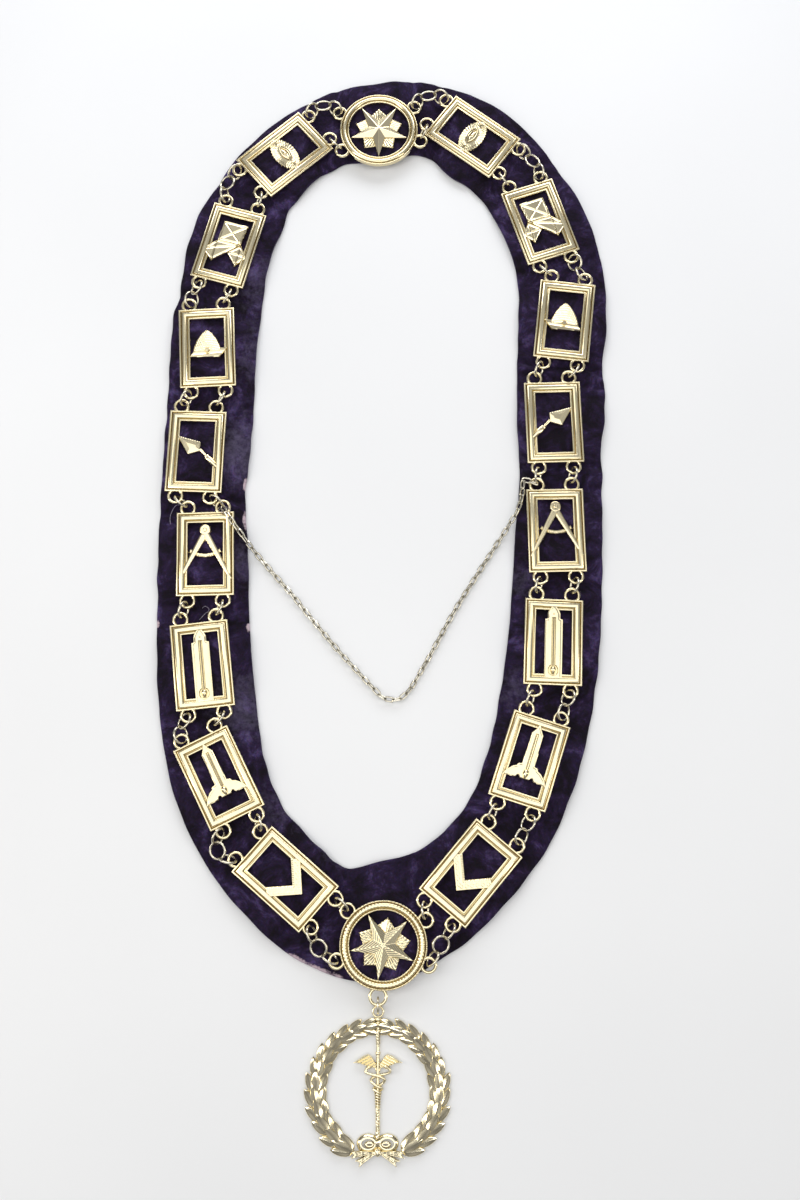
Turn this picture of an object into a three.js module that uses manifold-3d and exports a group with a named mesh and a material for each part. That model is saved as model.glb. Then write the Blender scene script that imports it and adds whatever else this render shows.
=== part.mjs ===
// A chain of office: sixteen framed plaques and two star medallions, joined in pairs by strings
// of jump rings, laid on a padded velvet collar, with a wreath jewel hanging at the front and a
// fine safety chain across. It is modelled lying flat. Millimetres, +Z up, +Y towards the nape.
import * as THREE from 'three';
import { mergeVertices } from 'three/addons/utils/BufferGeometryUtils.js';
import Module from 'manifold-3d';

const wasm = await Module();
wasm.setup();

// Driving dimensions
const clearance = 0.3;
const plaqueWidth = 27;
const plaqueLength = 40.6;
const plaqueDepth = 2.4;
const frameBar = 5.3;
const emblemDepth = 1.5;
const eyeRadius = 3.15;
const eyeWire = 1.4;
const eyeSetback = 5.3;
const eyeReach = 2.1;
const ringRadius = 3.8;
const ringWire = 1.1;
const jointRoom = 13;
const medallionDiameter = 39;
const medallionBar = 4.5;
const pendantEyeRadius = 3.6;
const pendantEyeReach = 2.4;
const velvetPad = 4.5;
const velvetSeam = 2.6;
const jewelDepth = 2.6;
const wreathRadius = 27;
const leafLength = 9.6;
const staffWidth = 1.8;
const jewelEyeRadius = 2.3;
const jewelEyeWire = 0.9;
const jewelRingRadius = 3.4;
const jewelRingWire = 1;
const safetyChainWidth = 2.6;

// How finely round things are faceted
const ringSides = 10;
const wireSides = 5;
const eyeWireSides = 3;
const medallionSides = 20;
const fuse = 0.1;
// A cast eye bends round this much on each side, in this many straight steps in all
const eyeSweep = 146;
const eyeBends = 7;

// Heights above the surface that the chain lies on
const linkBase = velvetPad + clearance;
const eyeHeight = linkBase + plaqueDepth / 2;
// How far a ring may sit off the middle of an eye, towards the next link and back towards its own
const eyeHole = (radius) => radius * Math.cos(Math.PI * eyeSweep / 180 / eyeBends) - eyeWire / 2;
const ringPlay = eyeHole(eyeRadius) - ringWire / 2 - clearance;
const ringBack = eyeReach - ringWire - clearance;

// The links, clockwise from the nape seen from above. x and y are the link's middle as shares of
// the chain's run, turn is in degrees anticlockwise, and outer and inner count the rings of the
// two strings to the next link. velvet is how far the velvet reaches out and in from the chain's
// line, at the link and at the joint after it, as shares of the plaque's width.
const links = [
  { name: 'nape_medallion', x: -0.0017, y: 0.2069, turn: 0, outer: 3, inner: 1,
    velvet: { out: 1.03, in: 0.57, jointOut: 1.0, jointIn: 0.56 } },
  { name: 'right_plaque_1', emblem: 'glory', x: 0.0471, y: 0.2029, turn: 53, outer: 3, inner: 1,
    velvet: { out: 0.82, in: 0.83, jointOut: 0.87, jointIn: 0.69 } },
  { name: 'right_plaque_2', emblem: 'theorem', x: 0.0813, y: 0.1545, turn: 18.5, outer: 2, inner: 1,
    velvet: { out: 0.88, in: 0.69, jointOut: 0.86, jointIn: 0.72 } },
  { name: 'right_plaque_3', emblem: 'beehive', x: 0.0924, y: 0.0999, turn: -6.5, outer: 1, inner: 1,
    velvet: { out: 0.78, in: 0.82, jointOut: 0.83, jointIn: 0.77 } },
  { name: 'right_plaque_4', emblem: 'trowel', x: 0.0858, y: 0.0457, turn: 1.5, outer: 1, inner: 1,
    velvet: { out: 0.92, in: 0.64, jointOut: 0.86, jointIn: 0.6 } },
  { name: 'right_plaque_5', emblem: 'dividers', x: 0.0856, y: -0.01, turn: 1, outer: 1, inner: 1,
    velvet: { out: 0.82, in: 0.7, jointOut: 0.81, jointIn: 0.75 } },
  { name: 'right_plaque_6', emblem: 'plumb', x: 0.0829, y: -0.0655, turn: -2.5, outer: 2, inner: 1,
    velvet: { out: 0.81, in: 0.77, jointOut: 0.83, jointIn: 0.76 } },
  { name: 'right_plaque_7', emblem: 'level', x: 0.0703, y: -0.1224, turn: -18, outer: 2, inner: 1,
    velvet: { out: 0.85, in: 0.71, jointOut: 0.86, jointIn: 0.76 } },
  { name: 'right_plaque_8', emblem: 'square', x: 0.0421, y: -0.1743, turn: -40, outer: 3, inner: 1,
    velvet: { out: 0.76, in: 0.93, jointOut: 0.64, jointIn: 1.2 } },
  { name: 'front_medallion', x: 0.0017, y: -0.2069, turn: -9, outer: 3, inner: 1,
    velvet: { out: 0.62, in: 1.34, jointOut: 0.8, jointIn: 1.2 } },
  { name: 'left_plaque_8', emblem: 'square', x: -0.0437, y: -0.1771, turn: 49, outer: 3, inner: 1,
    velvet: { out: 0.88, in: 0.78, jointOut: 0.87, jointIn: 0.71 } },
  { name: 'left_plaque_7', emblem: 'level', x: -0.0757, y: -0.1305, turn: 26.5, outer: 2, inner: 1,
    velvet: { out: 0.81, in: 0.81, jointOut: 0.79, jointIn: 0.86 } },
  { name: 'left_plaque_6', emblem: 'plumb', x: -0.0852, y: -0.0768, turn: 6.5, outer: 1, inner: 1,
    velvet: { out: 0.79, in: 0.84, jointOut: 0.82, jointIn: 0.77 } },
  { name: 'left_plaque_5', emblem: 'dividers', x: -0.0854, y: -0.0218, turn: 1.5, outer: 1, inner: 1,
    velvet: { out: 0.84, in: 0.73, jointOut: 0.73, jointIn: 0.78 } },
  { name: 'left_plaque_4', emblem: 'trowel', x: -0.0916, y: 0.0305, turn: -2, outer: 1, inner: 1,
    velvet: { out: 0.59, in: 0.94, jointOut: 0.6, jointIn: 0.95 } },
  { name: 'left_plaque_3', emblem: 'beehive', x: -0.0876, y: 0.0853, turn: 3, outer: 2, inner: 1,
    velvet: { out: 0.68, in: 0.87, jointOut: 0.74, jointIn: 0.85 } },
  { name: 'left_plaque_2', emblem: 'theorem', x: -0.0784, y: 0.1413, turn: -15.5, outer: 3, inner: 1,
    velvet: { out: 0.76, in: 0.78, jointOut: 0.75, jointIn: 0.75 } },
  { name: 'left_plaque_1', emblem: 'glory', x: -0.0505, y: 0.1928, turn: -49, outer: 3, inner: 1,
    velvet: { out: 0.66, in: 0.71, jointOut: 0.92, jointIn: 0.6 } },
];
const linkCount = links.length;
const plaqueCount = links.filter((link) => link.emblem).length;
const chainRun = plaqueCount * plaqueLength + (linkCount - plaqueCount) * medallionDiameter
  + linkCount * jointRoom;

// Angles in degrees of the eyes on each medallion's rim
const medallionEyes = {
  nape_medallion: { next: { outer: 35, inner: -17 }, back: { outer: 155, inner: 212 } },
  front_medallion: { next: { outer: 198, inner: 137 }, back: { outer: -23, inner: 30 }, pendant: 264 },
};

// Puckers in the velvet's edge. link and along say where, along being the share of the way to the
// next link, and depth is a share of the plaque's width.
const puckers = [
  { edge: 'inner', link: 0, along: 0.34, depth: 0.07 },
  { edge: 'inner', link: 17, along: 0.66, depth: 0.06 },
  { edge: 'outer', link: 3, along: 0.34, depth: 0.06 },
  { edge: 'outer', link: 4, along: 0.18, depth: 0.05 },
  { edge: 'outer', link: 15, along: 0.66, depth: 0.05 },
  { edge: 'outer', link: 1, along: 0.66, depth: 0.05 },
];

// The velvet's section. across runs from its outer edge to its inner edge, up from its base to
// its top.
const velvetSection = [
  { across: 0.03, up: 0 }, { across: 0, up: 0.5 }, { across: 0.07, up: 1 }, { across: 0.93, up: 1 },
  { across: 1, up: 0.5 }, { across: 0.97, up: 0 },
];
// Where the velvet is shaped between one link and the next, and how full the padding is there
const velvetStations = [
  { along: 0, full: 1 }, { along: 0.18, full: 1 }, { along: 0.34, full: 0 }, { along: 0.66, full: 0 },
  { along: 0.82, full: 1 },
];

// The safety chain's route, from the left fifth plaque's eye over the velvet's edge, across the
// surface inside the collar and up to the right fifth plaque's eye
const safetyRoute = [
  [-68.3, 2.6, 6.6], [-66.3, -1.5, 6.5], [-65.4, -7, 6.3], [-64, -12.3, 6.1], [-61.2, -16.6, 4.2],
  [-57.4, -21.2, 1.6], [-49.5, -30.5, 1.4], [-41.4, -39.7, 1.4], [-34.1, -48.8, 1.4], [-19, -66.9, 1.4],
  [-2.6, -84.6, 1.4], [2, -88.4, 1.4], [7.6, -89, 1.4], [11.2, -86.8, 1.4], [15, -82.1, 1.4],
  [22.9, -68.4, 1.4], [34.7, -46.9, 1.4], [46.7, -27.6, 1.4], [53.9, -16.3, 1.4], [57.6, -10.6, 1.7],
  [60.9, -5.6, 4.4], [64, -0.5, 6.2], [66, 5.3, 6.4], [66.8, 10.2, 6.5], [67.8, 14.8, 6.6],
];

const finish = (name, color, metalness, roughness) => (
  new THREE.MeshStandardMaterial({ name, color, metalness, roughness }));
const castGold = finish('cast_gold', 0xcdb56c, 1, 0.3);
const ringGold = finish('ring_gold', 0xc2b283, 1, 0.28);
const chainGold = finish('chain_gold', 0xd2c59c, 1, 0.3);
const velvetCloth = finish('velvet', 0x2a1d45, 0, 0.95);

const degrees = THREE.MathUtils.degToRad;
const vector = (x, y, z = 0) => new THREE.Vector3(x, y, z);
const polar = (radius, angle) => vector(radius * Math.cos(degrees(angle)), radius * Math.sin(degrees(angle)));

// Joins and cuts

function solid(geometry) {
  const bare = geometry.clone();
  bare.deleteAttribute('normal');
  bare.deleteAttribute('uv');
  const merged = mergeVertices(bare, 1e-4);
  return new wasm.Manifold(new wasm.Mesh({
    numProp: 3,
    vertProperties: new Float32Array(merged.attributes.position.array),
    triVerts: new Uint32Array(merged.index.array),
  }));
}

function fused(geometries) {
  const joined = geometries.map(solid).reduce((whole, piece) => whole.add(piece));
  const mesh = joined.getMesh();
  const geometry = new THREE.BufferGeometry();
  geometry.setAttribute('position', new THREE.BufferAttribute(mesh.vertProperties, 3));
  geometry.setIndex(new THREE.BufferAttribute(mesh.triVerts, 1));
  geometry.computeVertexNormals();
  return geometry;
}

// A closed skin over rows of points. The rows run round in a loop, or are closed at both ends by
// fans to the two tips given.
function skin(rows, tips) {
  const columns = rows[0].length;
  const points = rows.flat();
  const triangles = [];
  const lastRow = tips ? rows.length - 1 : rows.length;
  for (let row = 0; row < lastRow; row += 1) {
    const next = (row + 1) % rows.length;
    for (let column = 0; column < columns; column += 1) {
      const beside = (column + 1) % columns;
      const a = row * columns + column;
      const b = row * columns + beside;
      const c = next * columns + column;
      const d = next * columns + beside;
      triangles.push([a, b, c], [b, d, c]);
    }
  }
  if (tips) {
    const last = (rows.length - 1) * columns;
    const first = points.push(tips[0]) - 1;
    const final = points.push(tips[1]) - 1;
    for (let column = 0; column < columns; column += 1) {
      const beside = (column + 1) % columns;
      triangles.push([first, beside, column], [final, last + column, last + beside]);
    }
  }
  const volume = triangles.reduce((sum, [a, b, c]) => (
    sum + points[a].dot(points[b].clone().cross(points[c]))), 0);
  const outward = volume > 0 ? triangles : triangles.map(([a, b, c]) => [a, c, b]);
  const geometry = new THREE.BufferGeometry().setFromPoints(points);
  geometry.setIndex(outward.flat());
  geometry.computeVertexNormals();
  return geometry;
}

// A flat plate with the outline given, between two heights
function plate(outline, low, high) {
  const shape = new THREE.Shape(outline.map(([x, y]) => new THREE.Vector2(x, y)));
  return new THREE.ExtrudeGeometry(shape, { depth: high - low, bevelEnabled: false }).translate(0, 0, low);
}

function circle(radius, sides, x = 0, y = 0) {
  return Array.from({ length: sides }, (_, i) => {
    const angle = 2 * Math.PI * (i + 0.5) / sides;
    return [x + radius * Math.cos(angle), y + radius * Math.sin(angle)];
  });
}

function wireRing(radius, wire, sides = ringSides, section = wireSides) {
  return new THREE.TorusGeometry(radius, wire / 2, section, sides);
}

// A wire with pointed ends along a list of points
function rod(points, width, sides = wireSides) {
  const curve = new THREE.CatmullRomCurve3(points);
  const steps = points.length - 1;
  const frames = curve.computeFrenetFrames(steps, false);
  const rows = points.map((_, i) => {
    const middle = curve.getPoint(i / steps);
    return Array.from({ length: sides }, (__, k) => {
      const angle = 2 * Math.PI * k / sides;
      return middle.clone()
        .addScaledVector(frames.normals[i], width / 2 * Math.cos(angle))
        .addScaledVector(frames.binormals[i], width / 2 * Math.sin(angle));
    });
  });
  return skin(rows, [curve.getPoint(0), curve.getPoint(1)]);
}

// An eye cast on a link's end: a wire bent in an open round whose two feet lie in the link. away is
// the direction in degrees that it stands out in.
function castEye(x, y, away, radius = eyeRadius) {
  const points = Array.from({ length: eyeBends + 1 }, (_, i) => (
    polar(radius, away + eyeSweep * (2 * i / eyeBends - 1)).add(vector(x, y, plaqueDepth / 2))));
  return rod(points, eyeWire, eyeWireSides);
}

// Emblems. Their outlines are shares of half the frame's window, x across and y along.

const windowHalfWidth = plaqueWidth / 2 - frameBar;
const windowHalfLength = plaqueLength / 2 - frameBar;
const emblemLow = 0.25 * plaqueDepth;
const emblemHigh = emblemLow + emblemDepth;
const emblemRelief = 0.25 * emblemDepth;

// Every emblem is a list of plates, each an outline and how far it stands above the emblem's face.
// side is 1, or -1 for the mirrored pair on the right of the collar.
function emblemPlates(link) {
  const side = link.name.startsWith('right') ? -1 : 1;
  return emblems[link.emblem]().map(([outline, lift]) => {
    const sized = outline.map(([x, y]) => [side * x * windowHalfWidth, y * windowHalfLength]);
    return plate(sized, emblemLow, emblemHigh + lift);
  });
}

function mirrored(outline) {
  return [...outline, ...outline.map(([x, y]) => [-x, y]).reverse()];
}

// A pointed oval, its edge cut in by flute between one ray and the next
function pointedOval(halfWidth, halfHeight, rays, flute) {
  const arc = (sign) => Array.from({ length: rays }, (_, i) => {
    const x = -Math.cos(Math.PI * i / rays);
    const size = i % 2 && flute ? 1 - flute : 1;
    return [sign * x * halfWidth * size, sign * (1 - x * x) * halfHeight * size];
  });
  return [...arc(-1), ...arc(1)];
}

const emblems = {
  glory: () => [
    [pointedOval(1.16, 0.36, 10, 0.14), 0],
    [pointedOval(0.62, 0.17, 5, 0), emblemRelief],
    [circle(1, 6).map(([x, y]) => [x * 0.2, y * 0.11]), 2 * emblemRelief],
  ],
  theorem: () => [
    [[[-0.66, 0.74], [-0.7, 0.03], [0.68, 0.06], [0.79, 0.735]], emblemRelief],
    [[[-0.72, 0.1], [-1.36, -0.32], [-0.68, -0.62], [0.74, 0.1]], 0],
    [[[0.7, 0.11], [1.24, -0.26], [0.67, -0.62], [0, -0.24]], -emblemRelief],
  ],
  beehive: () => {
    const dome = Array.from({ length: 11 }, (_, i) => {
      const x = -Math.cos(Math.PI * i / 10);
      return [0.81 * x, -0.2 + 0.78 * (1 - Math.abs(x) ** 1.7) ** 0.75];
    });
    return [
      [dome, emblemRelief],
      [[[-1.12, -0.33], [0.72, -0.36], [1.24, -0.02], [0.75, -0.02], [-0.82, -0.12]], 0],
      [circle(1, 6).map(([x, y]) => [x * 0.14, y * 0.08 - 0.12]), 2 * emblemRelief],
    ];
  },
  trowel: () => [
    [[[-1.18, 0.52], [-0.48, -0.14], [0.27, 0], [0.27, 0.32]], emblemRelief],
    [[[0.1, 0.02], [0.16, -0.06], [0.6, -0.28], [1.2, -0.52], [1.34, -0.5], [1.0, -0.3], [0.5, -0.1],
      [0.3, 0.04]], 0],
  ],
  dividers: () => {
    const leg = [[-0.1, 0.86], [-1.56, -0.74], [-1.62, -0.88], [-1.38, -0.86], [0.22, 0.66]];
    const wing = Array.from({ length: 6 }, (_, i) => {
      const angle = Math.PI * (1.29 + 0.42 * i / 5);
      return [Math.cos(angle), Math.sin(angle)];
    });
    const arc = (radius) => wing.map(([x, y]) => [radius * x * 1.63, 0.76 + radius * y * 0.92]);
    return [
      [circle(1, 8).map(([x, y]) => [x * 0.35, y * 0.19 + 0.76]), 2 * emblemRelief],
      [leg, 0],
      [leg.map(([x, y]) => [-x, y]).reverse(), emblemRelief],
      [[...arc(1), ...arc(1.17).reverse()], -emblemRelief],
    ];
  },
  plumb: () => [
    [mirrored([[-0.52, -1.19], [-0.52, 0.72], [-0.39, 0.74], [-0.37, 0.92], [-0.22, 1.08],
      [-0.07, 1.19]]), 0],
    [circle(1, 6).map(([x, y]) => [x * 0.2, y * 0.12 - 0.9]), 2 * emblemRelief],
    [[[-0.05, -0.9], [0.05, -0.9], [0.05, 0.75], [-0.05, 0.75]], emblemRelief],
  ],
  level: () => [
    [mirrored([[-0.26, -0.6], [-1.28, -0.64], [-1.1, -0.42], [-0.82, -0.27], [-0.6, -0.21],
      [-0.58, -0.15], [-0.38, -0.12], [-0.35, 0.85], [-0.2, 0.98], [-0.04, 1.15]]), 0],
    [circle(1, 6).map(([x, y]) => [x * 0.22, y * 0.13 - 0.5]), 2 * emblemRelief],
  ],
  square: () => [
    [[[0, -0.66], [1.4, 0.14], [1.12, 0.38], [0, -0.26], [-1.12, 0.38], [-1.4, 0.14]], 0],
  ],
};

// A frame's moulding. across runs from the outer edge of the bar to the window, up is a share of
// the plaque's depth.
const moulding = [
  { across: 0, up: 0 }, { across: 0, up: 0.84 }, { across: 0.5, up: 1 }, { across: 1, up: 0.84 },
  { across: 1, up: 0 },
];

function plaqueFrame() {
  const corners = [[-1, -1], [1, -1], [1, 1], [-1, 1]];
  return skin(moulding.map(({ across, up }) => corners.map(([x, y]) => vector(
    x * (plaqueWidth / 2 - across * frameBar),
    y * (plaqueLength / 2 - across * frameBar),
    up * plaqueDepth,
  ))));
}

function plaque(link) {
  const eyes = [-1, 1].flatMap((x) => [-1, 1].map((y) => castEye(
    x * (plaqueWidth / 2 - eyeSetback),
    y * (plaqueLength / 2 + eyeReach),
    y * 90,
  )));
  return fused([plaqueFrame(), ...emblemPlates(link), ...eyes]);
}

// Medallions

const rimInside = medallionDiameter / 2 - medallionBar;

function medallionRim() {
  const section = [[0, 0], [1, 0], [1, 0.84], [0.5, 1], [0, 0.84], [0, 0]];
  const profile = section.map(([across, up]) => (
    new THREE.Vector2(rimInside + across * medallionBar, up * plaqueDepth)));
  return new THREE.LatheGeometry(profile, medallionSides).rotateX(Math.PI / 2);
}

function facetedStar() {
  const outline = Array.from({ length: 10 }, (_, i) => (
    polar(i % 2 ? 0.4 * rimInside : 1.04 * rimInside, 270 + 36 * i)));
  const at = (height) => outline.map((point) => point.clone().setZ(height));
  const low = 0.2 * plaqueDepth;
  const shoulder = 0.55 * plaqueDepth;
  return skin([at(low), at(shoulder)], [vector(0, 0, low), vector(0, 0, 1.35 * plaqueDepth)]);
}

// The square-ended rays that show between the star's points
function starRays() {
  const ray = [{ reach: 0.8, angle: -18 }, { reach: 0.8, angle: 18 }, { reach: 0.3, angle: 36 }];
  const outline = Array.from({ length: 5 }, (_, i) => ray.map(({ reach, angle }) => {
    const { x, y } = polar(reach * rimInside, 306 + 72 * i + angle);
    return [x, y];
  })).flat();
  return plate(outline, 0.3 * plaqueDepth, 0.7 * plaqueDepth);
}

function medallion(link) {
  const places = medallionEyes[link.name];
  const rimEyes = [places.next, places.back].flatMap(({ outer, inner }) => [outer, inner])
    .map((angle) => {
      const { x, y } = polar(medallionDiameter / 2 + eyeReach, angle - link.turn);
      return castEye(x, y, angle - link.turn);
    });
  if (places.pendant) {
    const away = places.pendant - link.turn;
    const { x, y } = polar(medallionDiameter / 2 + pendantEyeReach, away);
    rimEyes.push(castEye(x, y, away, pendantEyeRadius));
  }
  return fused([medallionRim(), facetedStar(), starRays(), ...rimEyes]);
}

// Where things are in the chain

function place(link) {
  return vector(link.x * chainRun, link.y * chainRun, linkBase);
}

// The middle of the eye on a link that faces the next link or the one before
function eyePlace(link, facing, side) {
  const middle = place(link).setZ(0);
  if (!link.emblem) {
    return middle.add(polar(medallionDiameter / 2 + eyeReach, medallionEyes[link.name][facing][side]));
  }
  const right = link.name.startsWith('right');
  const x = (side === 'outer') === right ? 1 : -1;
  const y = (facing === 'back') === right ? 1 : -1;
  const eye = vector(x * (plaqueWidth / 2 - eyeSetback), y * (plaqueLength / 2 + eyeReach));
  return middle.add(eye.applyAxisAngle(vector(0, 0, 1), degrees(link.turn)));
}

// Strings of jump rings

// How far a ring leans from the flat. The first and last are steep, and neighbours are a quarter
// turn apart.
function ringLean(index, count) {
  const single = 68;
  const odd = 64;
  const even = 48;
  if (count === 1) return single;
  if (count % 2) return odd - 90 * index;
  return even - index * (2 * even + 90 * (count - 2)) / (count - 1);
}

function stringMeasures(count) {
  const steep = degrees(ringLean(0, count));
  const lowest = velvetSeam + clearance + ringRadius * Math.sin(steep) + ringWire / 2;
  const lift = Math.max(0, lowest - eyeHeight);
  const halfChord = Math.sqrt(ringRadius ** 2 - (lift / Math.sin(steep)) ** 2);
  const contact = ringWire * Math.cos(Math.PI / wireSides) - fuse;
  const lengths = Array.from({ length: count }, (_, i) => {
    const ends = (i === 0 ? 1 : 0) + (i === count - 1 ? 1 : 0);
    return ends * halfChord + (2 - ends) * (ringRadius - contact / 2);
  });
  return { lift, halfChord, contact, lengths };
}

// Corners of a string whose neighbouring rings each turn by the same angle
function bowed(lengths, bend) {
  const corners = [vector(0, 0)];
  lengths.forEach((length, i) => {
    const angle = bend * ((lengths.length - 1) / 2 - i);
    corners.push(corners[i].clone().add(vector(length * Math.cos(angle), length * Math.sin(angle))));
  });
  return corners;
}

function bendFor(lengths, span) {
  let low = 0;
  let high = 2 * Math.PI / lengths.length;
  for (let i = 0; i < 40; i += 1) {
    const middle = (low + high) / 2;
    if (bowed(lengths, middle).at(-1).x > span) low = middle;
    else high = middle;
  }
  return low;
}

// A string between eyes that lie distance apart on the x axis, bowed towards +y where it is slack
function ringString(distance, leastCount) {
  let count = leastCount;
  let measures = stringMeasures(count);
  const reach = () => measures.lengths.reduce((sum, length) => sum + length, 0);
  while (reach() < distance - 2 * ringPlay) {
    count += 1;
    measures = stringMeasures(count);
  }
  const span = Math.min(reach(), distance + 2 * ringBack);
  const bend = count > 1 ? bendFor(measures.lengths, span) : 0;
  const corners = bowed(measures.lengths, bend);
  const whole = corners.at(-1);
  const skew = Math.atan2(whole.y, whole.x);
  return fused(measures.lengths.map((length, i) => {
    const heading = bend * ((count - 1) / 2 - i);
    const before = i === 0 ? measures.halfChord : ringRadius - measures.contact / 2;
    const middle = corners[i].clone().add(polar(before, THREE.MathUtils.radToDeg(heading)));
    return wireRing(ringRadius, ringWire)
      .rotateX(degrees(ringLean(i, count)))
      .rotateZ(heading)
      .translate(middle.x, middle.y, 0)
      .rotateZ(-skew)
      .translate((distance - whole.length()) / 2, 0, measures.lift);
  }));
}

// The velvet collar

function velvetCollar() {
  const line = new THREE.CatmullRomCurve3(links.map((link) => place(link).setZ(0)), true, 'catmullrom');
  const sideways = (at) => {
    const { x, y } = line.getTangent(at);
    return vector(-y, x);
  };
  const edge = (out, ...columns) => new THREE.CatmullRomCurve3(links.flatMap((link, i) => (
    columns.map((column, half) => {
      const index = i + half / 2;
      const at = (index / linkCount) % 1;
      return line.getPoint(at).addScaledVector(sideways(at), out * link.velvet[column] * plaqueWidth);
    }))), true, 'catmullrom');
  const edges = { outer: edge(1, 'out', 'jointOut'), inner: edge(-1, 'in', 'jointIn') };
  const pucker = (name, link, along) => puckers
    .filter((fold) => fold.edge === name && fold.link === link && fold.along === along)
    .reduce((sum, fold) => sum + fold.depth * plaqueWidth, 0);
  const rows = links.flatMap((_, link) => velvetStations.map(({ along, full }) => {
    const at = (link + along) / linkCount;
    const outer = edges.outer.getPoint(at);
    const inner = edges.inner.getPoint(at);
    const inward = inner.clone().sub(outer).normalize();
    outer.addScaledVector(inward, pucker('outer', link, along));
    inner.addScaledVector(inward, -pucker('inner', link, along));
    const height = velvetSeam + full * (velvetPad - velvetSeam);
    return velvetSection.map(({ across, up }) => outer.clone().lerp(inner, across).setZ(up * height));
  }));
  return skin(rows);
}

// The jewel, its middle at the wreath's centre and its back on the surface

const jewelMid = jewelDepth / 2;

// Three leaves spread from one foot, ridged down their middles. Points are shares of the leaf's
// length, along it and across.
function leafCluster(x, y, heading) {
  const side = [[0.3, 0.2], [0.86, 0.36], [0.4, 0.1]];
  const outline = [[-0.08, 0], ...side.map(([along, across]) => [along, -across]), [1, 0],
    ...side.map(([along, across]) => [along, across]).reverse()];
  const rim = outline.map(([along, across]) => vector(along * leafLength, across * leafLength));
  return skin([rim], [-1, 1].map((up) => vector(0.34 * leafLength, 0, up * jewelMid * 0.9)))
    .rotateZ(degrees(heading))
    .translate(x, y, jewelMid);
}

// Nine clusters a side climb from the bow to the top
function wreath() {
  const clusters = 9;
  const start = 18;
  const step = (163 - start) / (clusters - 1);
  return [-1, 1].flatMap((side) => {
    const stalk = [0, 0.5, 1].map((share) => polar(wreathRadius, -90 + side * start * share).setZ(jewelMid));
    const climb = Array.from({ length: clusters }, (_, i) => {
      const angle = -90 + side * (start + step * i);
      const { x, y } = polar(wreathRadius, angle);
      return leafCluster(x, y, angle + side * (90 + step / 2));
    });
    return [rod(stalk, 0.45 * jewelDepth, 4), ...climb];
  });
}

// A staff with a ball, a pair of wings and two snakes that twine round it
function wingedStaff() {
  const top = wreathRadius + 0.08 * leafLength;
  const foot = -0.93 * wreathRadius;
  const staff = rod(Array.from({ length: 6 }, (_, i) => vector(0, foot + (top - foot) * i / 5, jewelMid)),
    staffWidth, 6);
  const ball = new THREE.SphereGeometry(0.75 * staffWidth, 6, 4).translate(0, 0.55 * wreathRadius, jewelMid);
  const wing = [[0, 0.43], [0.06, 0.44], [0.16, 0.505], [0.4, 0.4], [0.3, 0.345], [0.17, 0.315], [0, 0.3]];
  const wings = [-1, 1].map((side) => {
    const outline = wing.map(([x, y]) => [side * x * wreathRadius, y * wreathRadius]);
    return plate(side > 0 ? outline : outline.reverse(), 0.3 * jewelDepth, 0.8 * jewelDepth);
  });
  const snakes = [-1, 1].map((side) => {
    const body = Array.from({ length: 17 }, (_, i) => {
      const share = i / 16;
      const swing = wreathRadius * (0.2 * (1 - share) ** 1.1 + 0.04);
      const phase = Math.PI * (0.42 + 3.58 * share ** 0.85);
      return [side * swing * Math.sin(phase), wreathRadius * (0.33 - 0.66 * share)];
    });
    const half = 0.31 * staffWidth;
    const outline = [
      ...body.map(([x, y]) => [x - half, y]),
      ...body.map(([x, y]) => [x + half, y]).reverse(),
    ];
    const low = side > 0 ? 0.17 : 0.36;
    return plate(outline, low * jewelDepth, (low + 0.47) * jewelDepth);
  });
  return [staff, ball, ...wings, ...snakes];
}

function bow() {
  const y = -0.87 * wreathRadius;
  const loops = [-1, 1].map((side) => wireRing(0.12 * wreathRadius, 0.6 * jewelDepth, 8, 4)
    .translate(side * 0.16 * wreathRadius, y, jewelMid));
  const knot = new THREE.SphereGeometry(0.5 * jewelDepth, 6, 4)
    .scale(0.9, 1.15, 1).translate(0, -wreathRadius, jewelMid);
  // Two tails a side: how far each end drops, and how far out it reaches
  const ribbons = [{ drop: 1.16, reach: 0.4, low: 0.2 }, { drop: 1.02, reach: 0.47, low: 0.27 }];
  const tails = [-1, 1].flatMap((side) => ribbons.map(({ drop, reach, low }) => {
    const forked = [[reach, -drop - 0.06], [0.9 * reach, -drop], [reach, 0.07 - drop]];
    const outline = [[0, -0.95], [0, -1.04], ...forked]
      .map(([x, v]) => [side * x * wreathRadius, v * wreathRadius]);
    return plate(side < 0 ? outline : outline.reverse(), low * jewelDepth, (low + 0.5) * jewelDepth);
  }));
  return [...loops, knot, ...tails];
}

// The jewel's eye lies over the bottom of the ring that stands in it
const jewelEyeY = wreathRadius + 0.4 * leafLength + jewelEyeRadius;
const jewelEyeHeight = jewelRingWire + clearance + jewelEyeWire / 2;

function jewel() {
  const eye = wireRing(jewelEyeRadius, jewelEyeWire, ringSides, eyeWireSides)
    .translate(0, jewelEyeY, jewelEyeHeight);
  const boss = new THREE.SphereGeometry(0.55 * jewelDepth, 6, 4)
    .translate(0, jewelEyeY - jewelEyeRadius - 0.35 * jewelDepth, jewelMid);
  const foot = vector(0, wreathRadius - 0.5 * staffWidth, jewelMid);
  const neck = rod([foot, vector(0, jewelEyeY - jewelEyeRadius, jewelMid)], 1.3 * staffWidth, 6);
  return fused([...wreath(), ...wingedStaff(), ...bow(), eye, boss, neck]);
}

// The object

const chainOfOffice = new THREE.Group();

function add(name, geometry, material, position = vector(0, 0, 0), turn = 0) {
  const mesh = new THREE.Mesh(geometry, material);
  mesh.name = name;
  mesh.position.copy(position);
  mesh.rotation.z = turn;
  chainOfOffice.add(mesh);
}

add('velvet_collar', velvetCollar(), velvetCloth);

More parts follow.
